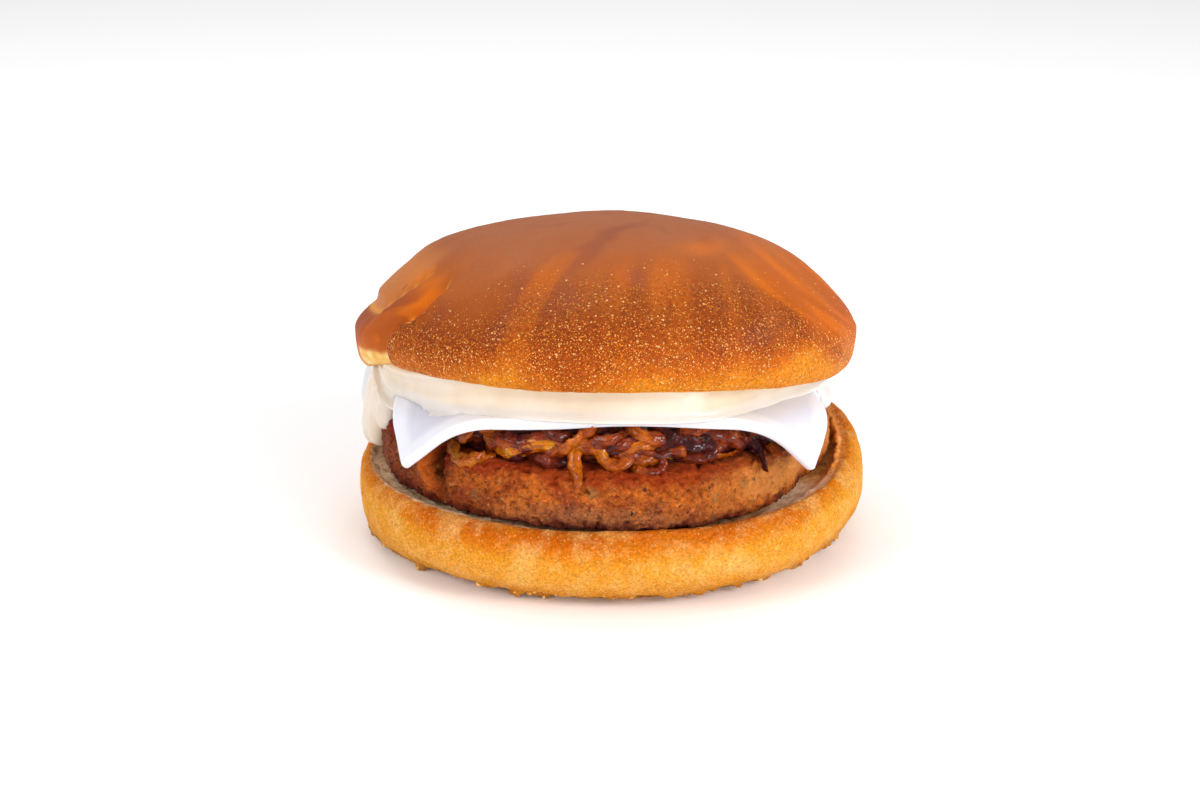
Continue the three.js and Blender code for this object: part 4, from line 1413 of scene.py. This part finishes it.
def fold_depth(angle, radius):
    side = angle - fold_line(radius)
    roll = lerp(4.5, 7, smooth(radius, 46, 49))
    lip = lerp(4, 1.5, smooth(radius, 38, 44))
    valley = smooth(radius, 36, 45) * near(side, 0, np.where(side < 0, roll, lip))
    groove = 0.42 * near(radius, groove_radius(angle), 1.4) * plateau(angle, -135, -95, -63, -50)
    furrows = sum(0.12 * hill(angle, at, 6) for at in (72, 90, 150, -140)) * smooth(radius, 24, 47)
    return 3.2 * (valley + groove + furrows)


def crown_under(angle, radius, skirt):
    pressed = CROWN_HOLLOW * smooth(-radius * np.cos(np.radians(angle)), -14, 38)
    return -lerp(CROWN_SKIRT, skirt, smooth(radius, 38, 45)) + pressed


def crown_profile(angle):
    outer = CROWN_RADIUS * (1 + 0.005 * uneven(angle, 11))
    lean = 1.3 * hill(angle, 62, 34) - 1.6 * hill(angle, -56, 24) + 2.4 * hill(angle, -96, 22)
    skirt = CROWN_SKIRT + lean + 0.25 * uneven(angle, 13, 7)
    fold = fold_depth(angle, outer)
    rows = [
        (0 * outer, crown_under(0, 0, CROWN_SKIRT)),
        (0.4 * outer, crown_under(angle, 0.4 * outer, skirt)),
        (0.78 * outer, crown_under(angle, 0.78 * outer, skirt)),
        (0.905 * outer - 0.6 * fold, crown_under(angle, 0.9 * outer, skirt)),
        (0.95 * outer - fold, -skirt),
        (0.982 * outer - fold, -0.62 * skirt),
    ]
    for polar in DOME_RINGS:
        slim = 1 - 0.035 * hill(polar, 62, 17)
        left = 1.5 * hill(angle, -80, 32) * hill(polar, 38, 11)
        right = 0.8 * hill(angle, 85, 35) * hill(polar, 55, 12)
        radius = outer * slim * math.sin(math.radians(polar)) + left + right
        sunk = fold_depth(angle, radius)
        rows.append((
            radius - sunk * math.sin(math.radians(polar)),
            (CROWN_RISE * slim - sunk) * math.cos(math.radians(polar)),
        ))
    return rows + [(0 * outer, CROWN_RISE)]


# %% [markdown]
# The fold's lip is about a millimetre sharp, so the rings have extra columns round it.


# %% Upper bun mesh
extra_angles = np.linspace(FOLD_ANGLE - 16, FOLD_ANGLE + 8, 90)
crown_angles = np.unique(np.concatenate([all_round(430), extra_angles]).round(4))
UNDER_STEPS = [2, 3, 4, 6, 8, 8]
DOME_STEPS = [9, 8, 8, 8, 8, 8, 8, 8, 7, 7, 6, 6, 6, 5, 5, 4]
upright, crown_angle, crown_place, crown_grid = turned(crown_profile, crown_angles, UNDER_STEPS + DOME_STEPS)
crown_radius = np.hypot(upright[:, 0], upright[:, 1])


def tip_back(points):
    y, z = points[:, 1], points[:, 2]
    turned_y = y * math.cos(CROWN_TILT) - z * math.sin(CROWN_TILT)
    turned_z = y * math.sin(CROWN_TILT) + z * math.cos(CROWN_TILT)
    return np.stack([points[:, 0], turned_y, turned_z], -1) + CROWN_CENTRE


upper_bun = new_piece("upper_bun", tip_back(upright) + STEP_ASIDE, ring_faces(crown_grid))
EDGE_PLACE = 4
crown_crumb = 1 - smooth(crown_place + 0.3 * grain(upright, 1.5, 51), EDGE_PLACE - 0.6, EDGE_PLACE + 0.1)
dimples = 0.3 * grain(upright, 14, 52) + 0.1 * grain(upright, 4, 53) + 0.04 * grain(upright, 1.3, 54)
pores = -0.5 * np.maximum(0, grain(upright, 1.5, 55)) - 0.25 * np.maximum(0, grain(upright, 0.8, 56))
push(upper_bun, lerp(dimples, pores, crown_crumb))


# %% [markdown]
# The colour of a crust follows its form: pale and orange where the skin stretched late, brown
# where it faced the heat. So the masks are worked out from the same lines as the shape. The fold
# has drawn its skin inwards, and what counts is how far from the middle each point was before
# that. That is found by trying: the depth at the last guess is added back, and a dozen rounds
# settle it.


# %% Where the fold and the groove are
unfolded_radius = crown_radius.copy()
for _ in range(12):
    pressed_in = fold_depth(crown_angle, unfolded_radius) * np.minimum(1, unfolded_radius / CROWN_RADIUS)
    unfolded_radius = 0.5 * (unfolded_radius + crown_radius + pressed_in)
height_up = upright[:, 2]
side_of_fold = crown_angle - fold_line(unfolded_radius)
fold_reach = smooth(unfolded_radius, 38, 43)
low_down = 1 - smooth(height_up, 0.2, 2.2)
valley_edge = lerp(-4.6, -12, np.maximum(low_down, smooth(unfolded_radius, 43.5, 47.5)))
in_valley = plateau(side_of_fold, valley_edge - 1.6, valley_edge + 1.2, 1.2, 1.8) * fold_reach
far_in_valley = in_valley * (1 - smooth(side_of_fold, -8.5, -3))
lip_line = near(side_of_fold, 1.2, 0.6) * fold_reach
rolled = hill(side_of_fold, valley_edge - 4, 5) * smooth(crown_radius, 39, 44)
rolled = rolled * smooth(height_up, 0, 2) * (1 - in_valley)
inside_groove = groove_radius(crown_angle) - crown_radius
left_end = plateau(crown_angle, -150, -115, -64, -56)
outer_roll = smooth(inside_groove, 0.2, 1.6) * smooth(crown_radius, 31, 39) * left_end
groove_line = near(inside_groove, 0.8, 0.6) * left_end
print("points in the valley of the fold:", int((in_valley > 0.5).sum()))

# %% [markdown]
# On the right the dough was drawn out in one direction, and the streaks run that way: `across`
# and `along` are measured square to them and with them. On the front they fan out from a point
# near the top. Only the side that the photograph shows has ribs, and they fade on the way round.


# %% Streaks and patches of the crust
FAN_CENTRE = (16, 8)
fan_x, fan_y = upright[:, 0] - FAN_CENTRE[0], upright[:, 1] - FAN_CENTRE[1]
fan_angle, fan_reach = np.degrees(np.arctan2(fan_x, -fan_y)), np.hypot(fan_x, fan_y)
# The streaks run down to the right by 38 degrees. This is the direction square to them.
SQUARE_X, SQUARE_Z = 0.616, 0.788
across = SQUARE_X * upright[:, 0] + SQUARE_Z * height_up
along = SQUARE_Z * upright[:, 0] - SQUARE_X * height_up


def drawn_noise(wide, long, seed):
    """Noise drawn out along one of its two coordinates."""
    return np.array([noise.noise(Vector((a, b, seed))) for a, b in zip(wide, long)])


def spot(x, z, wide, high):
    """A soft spot on the front of the dome."""
    return near(upright[:, 0], x, wide) * near(height_up, z, high) * (upright[:, 1] < 5)


right_side = smooth(across + grain(upright, 6, 60), 25, 28.5)
right_side = right_side * plateau(crown_angle, 15, 35, 110, 150) * smooth(along, 2, 16)
seen_side = 1 - smooth(crown_angle, 84, 112)
ribs = drawn_noise(across / 1.7, along / 24, 3) + 0.5 * drawn_noise(across / 0.8, along / 12, 5)
ribs = smooth(ribs, -0.15, 0.35) * seen_side
first_rib = near(across - 0.8 * drawn_noise(along / 11, 0 * along, 6), 27.4, 0.7)
first_rib = first_rib * smooth(crown_angle, 25, 40) * smooth(along, 2, 12) * seen_side
dark_rib = near(across, 25.6, 0.8) * smooth(along, 10, 18) * smooth(crown_angle, 25, 35) * seen_side
front_streaks = smooth(drawn_noise(fan_angle / 7, fan_reach / 28, 8), 0, 0.45)
front_streaks = front_streaks * hill(crown_angle, 5, 42) * smooth(crown_radius, 26, 40)
soft_patches = spot(-33, 12, 5, 2.2) + spot(18.5, 18.4, 5, 1.2) + 0.7 * spot(12, 4, 3, 3)
height_share = np.clip((height_up + CROWN_SKIRT) / (CROWN_RISE + CROWN_SKIRT), 0, 1)
bruised = smooth(drawn_noise(fan_angle / 11, fan_reach / 16, 12) + 0.5 * grain(upright, 6, 59), 0.1, 0.5)
bruised = bruised * hill(crown_angle, 20, 60) * smooth(height_share, 0.2, 0.4) + 1.2 * spot(28, 4.4, 5, 1.8)

# %% [markdown]
# The masks come together here. The colour goes by the height on the dome, taken a little higher
# beside the fold and lower at the golden right end. The grain thins out towards the top and stays
# out of the valley, the drawn-out skin and the roll behind the fold. At the left front the edge is
# torn, and crumb shows.

# %% Paint the upper bun's masks
on_side = (crown_place > EDGE_PLACE).astype(float)
torn_end = plateau(crown_angle, -79, -73, -59.5, -57)
torn_end = torn_end * (1 - smooth(height_up + 0.5 * grain(upright, 2, 61), -2.2, -0.8)) * on_side
orange = np.maximum.reduce([
    in_valley, right_side * (0.4 + 0.35 * ribs), 0.6 * first_rib, 0.45 * front_streaks, 0.5 * soft_patches
])
beside_fold = hill(crown_angle, -42, 20) * smooth(height_share, 0.15, 0.4)
golden_end = smooth(crown_angle, 10, 50) * (1 - smooth(height_share, 0.1, 0.4))
shade = height_share + 0.14 * beside_fold - 0.06 * golden_end
behind_fold = smooth(-side_of_fold, 1, 3) * smooth(crown_angle, -150, -120) * (crown_radius > 30)
grainy = 1 - smooth(height_share + 0.2 * beside_fold + 0.12 * grain(upright, 9, 57), 0.45, 0.82)
grainy = grainy * (0.85 + 0.4 * grain(upright, 4, 58)) * (1 - smooth(in_valley, 0.2, 0.6))
grainy = grainy * (1 - 0.9 * right_side * smooth(height_share, 0.12, 0.3)) * (1 - behind_fold) * on_side
paint(
    upper_bun,
    crumb=np.maximum(crown_crumb, torn_end),
    valley=orange * on_side * (1 - 0.75 * far_in_valley),
    lip=np.maximum(lip_line, 0.6 * groove_line) * on_side,
    rolled=np.maximum.reduce([rolled, 0.7 * dark_rib, 0.8 * far_in_valley]),
    bruised=bruised,
    # The upper bump above the left groove is painted a paler tan: a painted highlight on its shoulder.
    tan=0.65 * outer_roll,
    height=shade + 0.05 * drawn_noise(fan_angle / 9, fan_reach / 30, 12),
    grainy=grainy,
    blister=grainy * (1 - smooth(height_share + 0.1 * beside_fold, 0.22, 0.52)),
)


# %% [markdown]
# ## Upper bun: the finish
#
# The crust was brushed with egg wash and baked until brown. It is a dull satin, deep brown on
# top, orange lower down and golden along the edge, where the heat was less. Towards the very top
# the brown turns paler and pinker: a painted sheen of the soft light from above. In the fold and
# in the streaks, where the skin stretched late, it is lighter and more orange. It is covered with
# countless tiny blisters, paler than the crust between them, so the crust is darkened first and
# the dots are laid on it. The finest are left to the material, and the larger ones are real
# bumps, made further down.

# %% Egg-washed crust
glaze, tree, shader, where = new_material(
    "egg_washed_crust", (1, 0.4, 0.15), Roughness=0.55, IOR=1.4, Subsurface_Weight=0.03,
    Subsurface_Scale=0.0006, Specular_IOR_Level=0.16,
)
cloud = clouds(tree, where, 12, 0.3, 0.7, detail=4)
height = add(tree, "ShaderNodeAttribute", attribute_name="height").outputs["Fac"]
shifted = add(tree, "ShaderNodeMath", {0: cloud, 1: 0.16, 2: height}, operation="MULTIPLY_ADD")
centred = add(tree, "ShaderNodeMath", {0: shifted, 1: 0.08}, operation="SUBTRACT")
# Above its darkest stop the ramp turns paler and pinker towards the top: a painted sheen.
colour = add(
    tree, "ShaderNodeValToRGB", {"Fac": centred},
    [(0, "#de860e"), (1, "#a05c36"), (0.09, "#c46004"), (0.2, "#a24402"), (0.36, "#903a02"),
     (0.55, "#96440c"), (0.76, "#9d5325")],
)
# The tan on the left shoulder is a painted highlight.
colour = layers(
    tree, colour,
    ("#98481c", "rolled", 0.75), ("#86442e", "bruised", 0.6), ("#cb8144", "tan", 0.9),
    ("#d66c06", "valley", 0.88), ("#f6ae48", "lip", 0.85),
)
grainy = add(tree, "ShaderNodeAttribute", attribute_name="grainy").outputs["Fac"]
mottle = clouds(tree, where, 0.6, 0.34, 0.66, detail=3, roughness=0.65)
between = vary(tree, colour, mottle, 0.5, 1.0)
colour = layers(tree, colour, (between, grainy, 1.3))
bumps = [(mottle, 0.06)]
# Spacing in mm, radius and share of each kind of dot, its colour and how strongly it shows.
DOTS = [
    (0.34, 0.42, 0.95, "#e08222", 0.75),
    (0.56, 0.38, 0.9, "#ec9840", 0.85),
    (1, 0.3, 0.7, "#fabc78", 0.8),
]
for spacing, radius, density, dot_colour, strength in DOTS:
    share = add(tree, "ShaderNodeMath", {0: grainy, 1: density}, operation="MULTIPLY")
    dot = dots(tree, where, spacing, radius, share)
    colour = layers(tree, colour, (dot_colour, dot, strength))
    bumps.append((dot, 0.2 * spacing))
flaky = clouds(tree, where, 3, 0.3, 0.7, detail=4)
crumb_colour = add(
    tree, "ShaderNodeValToRGB", {"Fac": flaky},
    [(0, "#cf943c"), (1, "#f0dcb0"), (0.5, "#e8bc6c")],
)
colour = layers(tree, colour, (crumb_colour, "crumb", 1))
surface(tree, shader, colour, bumps)
upper_bun.data.materials.append(glaze)

# %% [markdown]
# ## Blisters and crumbs
#
# The larger blisters are 0.17 to 0.44 mm across, and a bump in the material would leave the bun's
# outline smooth where the real one bristles with them. Geometry Nodes scatter small domes over
# the crust by the painted density, with a least distance between them, and turn each one to
# stand on the surface. The same tree scatters crumbs along the lower bun's torn edge.


# %% Geometry Nodes: scatter small grains
def scatter_tree(mask, rough):
    """Scatters flattened grains over a surface by a painted mask. Rough grains are knobbly, the
    others are round."""
    tree, given = new_tree(
        mask,
        Float=["Per Square Metre", "Least Distance", "Smallest", "Largest", "Flatness"],
        Int=["Seed"],
        Material=["Finish"],
    )
    density = add(tree, "GeometryNodeInputNamedAttribute", {"Name": mask}, data_type="FLOAT")
    spread = add(
        tree, "GeometryNodeDistributePointsOnFaces",
        {
            "Mesh": given["Geometry"], "Distance Min": given["Least Distance"], "Seed": given["Seed"],
            "Density Max": given["Per Square Metre"], "Density Factor": density,
        },
        distribute_method="POISSON",
    ).outputs
    if rough:
        ball = add(tree, "GeometryNodeMeshIcoSphere", {"Radius": 0.5, "Subdivisions": 2})
        knobs = add(tree, "ShaderNodeTexNoise", {"Scale": 3.0, "Detail": 2}).outputs["Color"]
        knobs = add(tree, "ShaderNodeVectorMath", {0: knobs, 1: (0.5, 0.5, 0.5)}, operation="SUBTRACT")
        ball = add(tree, "GeometryNodeSetPosition", {"Geometry": ball, "Offset": knobs})
    else:
        ball = add(tree, "GeometryNodeMeshUVSphere", {"Segments": 4, "Rings": 2, "Radius": 0.5})
    ball = add(tree, "GeometryNodeSetShadeSmooth", {"Geometry": ball, "Shade Smooth": True})
    draw = add(tree, "FunctionNodeRandomValue", {2: 0.0, 3: 1.0, "Seed": 5}, data_type="FLOAT").outputs[1]
    # The power makes small grains more common than large ones.
    skewed = add(tree, "ShaderNodeMath", {0: draw, 1: 2.2}, operation="POWER")
    sizes = {"Value": skewed, "To Min": given["Smallest"], "To Max": given["Largest"]}
    size = add(tree, "ShaderNodeMapRange", sizes)
    thin = add(tree, "ShaderNodeMath", {0: size, 1: given["Flatness"]}, operation="MULTIPLY")
    scale = add(tree, "ShaderNodeCombineXYZ", {"X": size, "Y": size, "Z": thin})
    spin = {0: (0, 0, 0), 1: (0, 0, 6.28), "Seed": 9}
    spun = add(tree, "FunctionNodeRandomValue", spin, data_type="FLOAT_VECTOR")
    turn = add(tree, "FunctionNodeEulerToRotation", {0: spun})
    stand = add(tree, "FunctionNodeRotateRotation", {0: spread["Rotation"], 1: turn}, rotation_space="LOCAL")
    grains = add(
        tree, "GeometryNodeInstanceOnPoints",
        {"Points": spread["Points"], "Instance": ball, "Rotation": stand, "Scale": scale},
    )
    tone = add(tree, "FunctionNodeRandomValue", {2: 0.0, 3: 1.0, "Seed": 7}, data_type="FLOAT").outputs[1]
    toned = add(
        tree, "GeometryNodeStoreNamedAttribute", {"Geometry": grains, "Name": "tone", "Value": tone},
        data_type="FLOAT", domain="INSTANCE",
    )
    end_tree(tree, toned, given["Finish"])
    return tree


def scatter(name, host, mask, rough, values):
    """A new piece of grains that stand on another piece."""
    piece = new_object(name, host.data.copy())
    run_tree(piece, scatter_tree(mask, rough), values)
    return piece


# %% [markdown]
# A blister is a bubble in the crust's skin. It is thinner and drier than the crust round it, so
# it is paler, and each has a tone of its own. They are a few tenths of a millimetre apart.

# %% Crust blisters
blister_skin, tree, shader, where = new_material(
    "crust_blister", (1, 0.5, 0.25), Roughness=0.45, IOR=1.4, Subsurface_Weight=0.1,
    Subsurface_Scale=0.0005, Specular_IOR_Level=0.2,
)
tone = add(tree, "ShaderNodeAttribute", attribute_name="tone").outputs["Fac"]
colour = add(
    tree, "ShaderNodeValToRGB", {"Fac": tone},
    [(0, "#b8580a"), (1, "#f9c080"), (0.4, "#d47a1e"), (0.75, "#ea9640")],
)
surface(tree, shader, colour)
blisters = scatter(
    "crust_blisters", upper_bun, "blister", False,
    {
        "Per Square Metre": 6.4e6, "Least Distance": 0.24 * MM, "Smallest": 0.17 * MM, "Largest": 0.44 * MM,
        "Flatness": 0.55, "Seed": 3, "Finish": blister_skin,
    },
)
finish_piece(blisters, "upper_bun")
finish_piece(upper_bun, "upper_bun", "bun_crown")

# %% [markdown]
# Where the bread was torn, crumbs up to a millimetre wide cling to it, along the bottom edge and
# here and there on the rim. They are matt and golden like the crumb that they come from.

# %% Crumbs at the lower bun's edges
crumb_skin, tree, shader, where = new_material(
    "torn_crumb", Roughness=0.8, Subsurface_Weight=0.2, Subsurface_Scale=0.001, Specular_IOR_Level=0.3
)
tone = add(tree, "ShaderNodeAttribute", attribute_name="tone").outputs["Fac"]
colour = add(tree, "ShaderNodeValToRGB", {"Fac": tone}, [(0, "#a8641c"), (1, "#f4c884"), (0.5, "#dc9a42")])
surface(tree, shader, colour)
bottom_edge = near(heel_points[:, 2], 1.6, 0.8) * (heel_place > 2.6) * (heel_place < 6)
ragged_here = 0.2 + 0.8 * smooth(grain(heel_points, 7, 61), -0.1, 0.3)
loose_on_rim = 0.3 * on_rim * smooth(grain(heel_points, 5, 62), 0.1, 0.4)
paint(lower_bun, crumbs=bottom_edge * ragged_here + loose_on_rim)
crumbs = scatter(
    "torn_edge_crumbs", lower_bun, "crumbs", True,
    {
        "Per Square Metre": 1.1e6, "Least Distance": 0.6 * MM, "Smallest": 0.3 * MM, "Largest": 1.1 * MM,
        "Flatness": 0.8, "Seed": 4, "Finish": crumb_skin,
    },
)
keep_above_floor(crumbs)
finish_piece(crumbs, "lower_bun")

# %% [markdown]
# ## The two boxes
#
# The dressed burger has to fill the same box as the plain solids. Both boxes are printed.

# %% The two boxes
shown_box = [list(corner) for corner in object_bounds()]
for name, box in (("solids", cad_box), ("dressed", shown_box)):
    print(name, "mm:", [[round(1000 * value, 1) for value in corner] for corner in box])
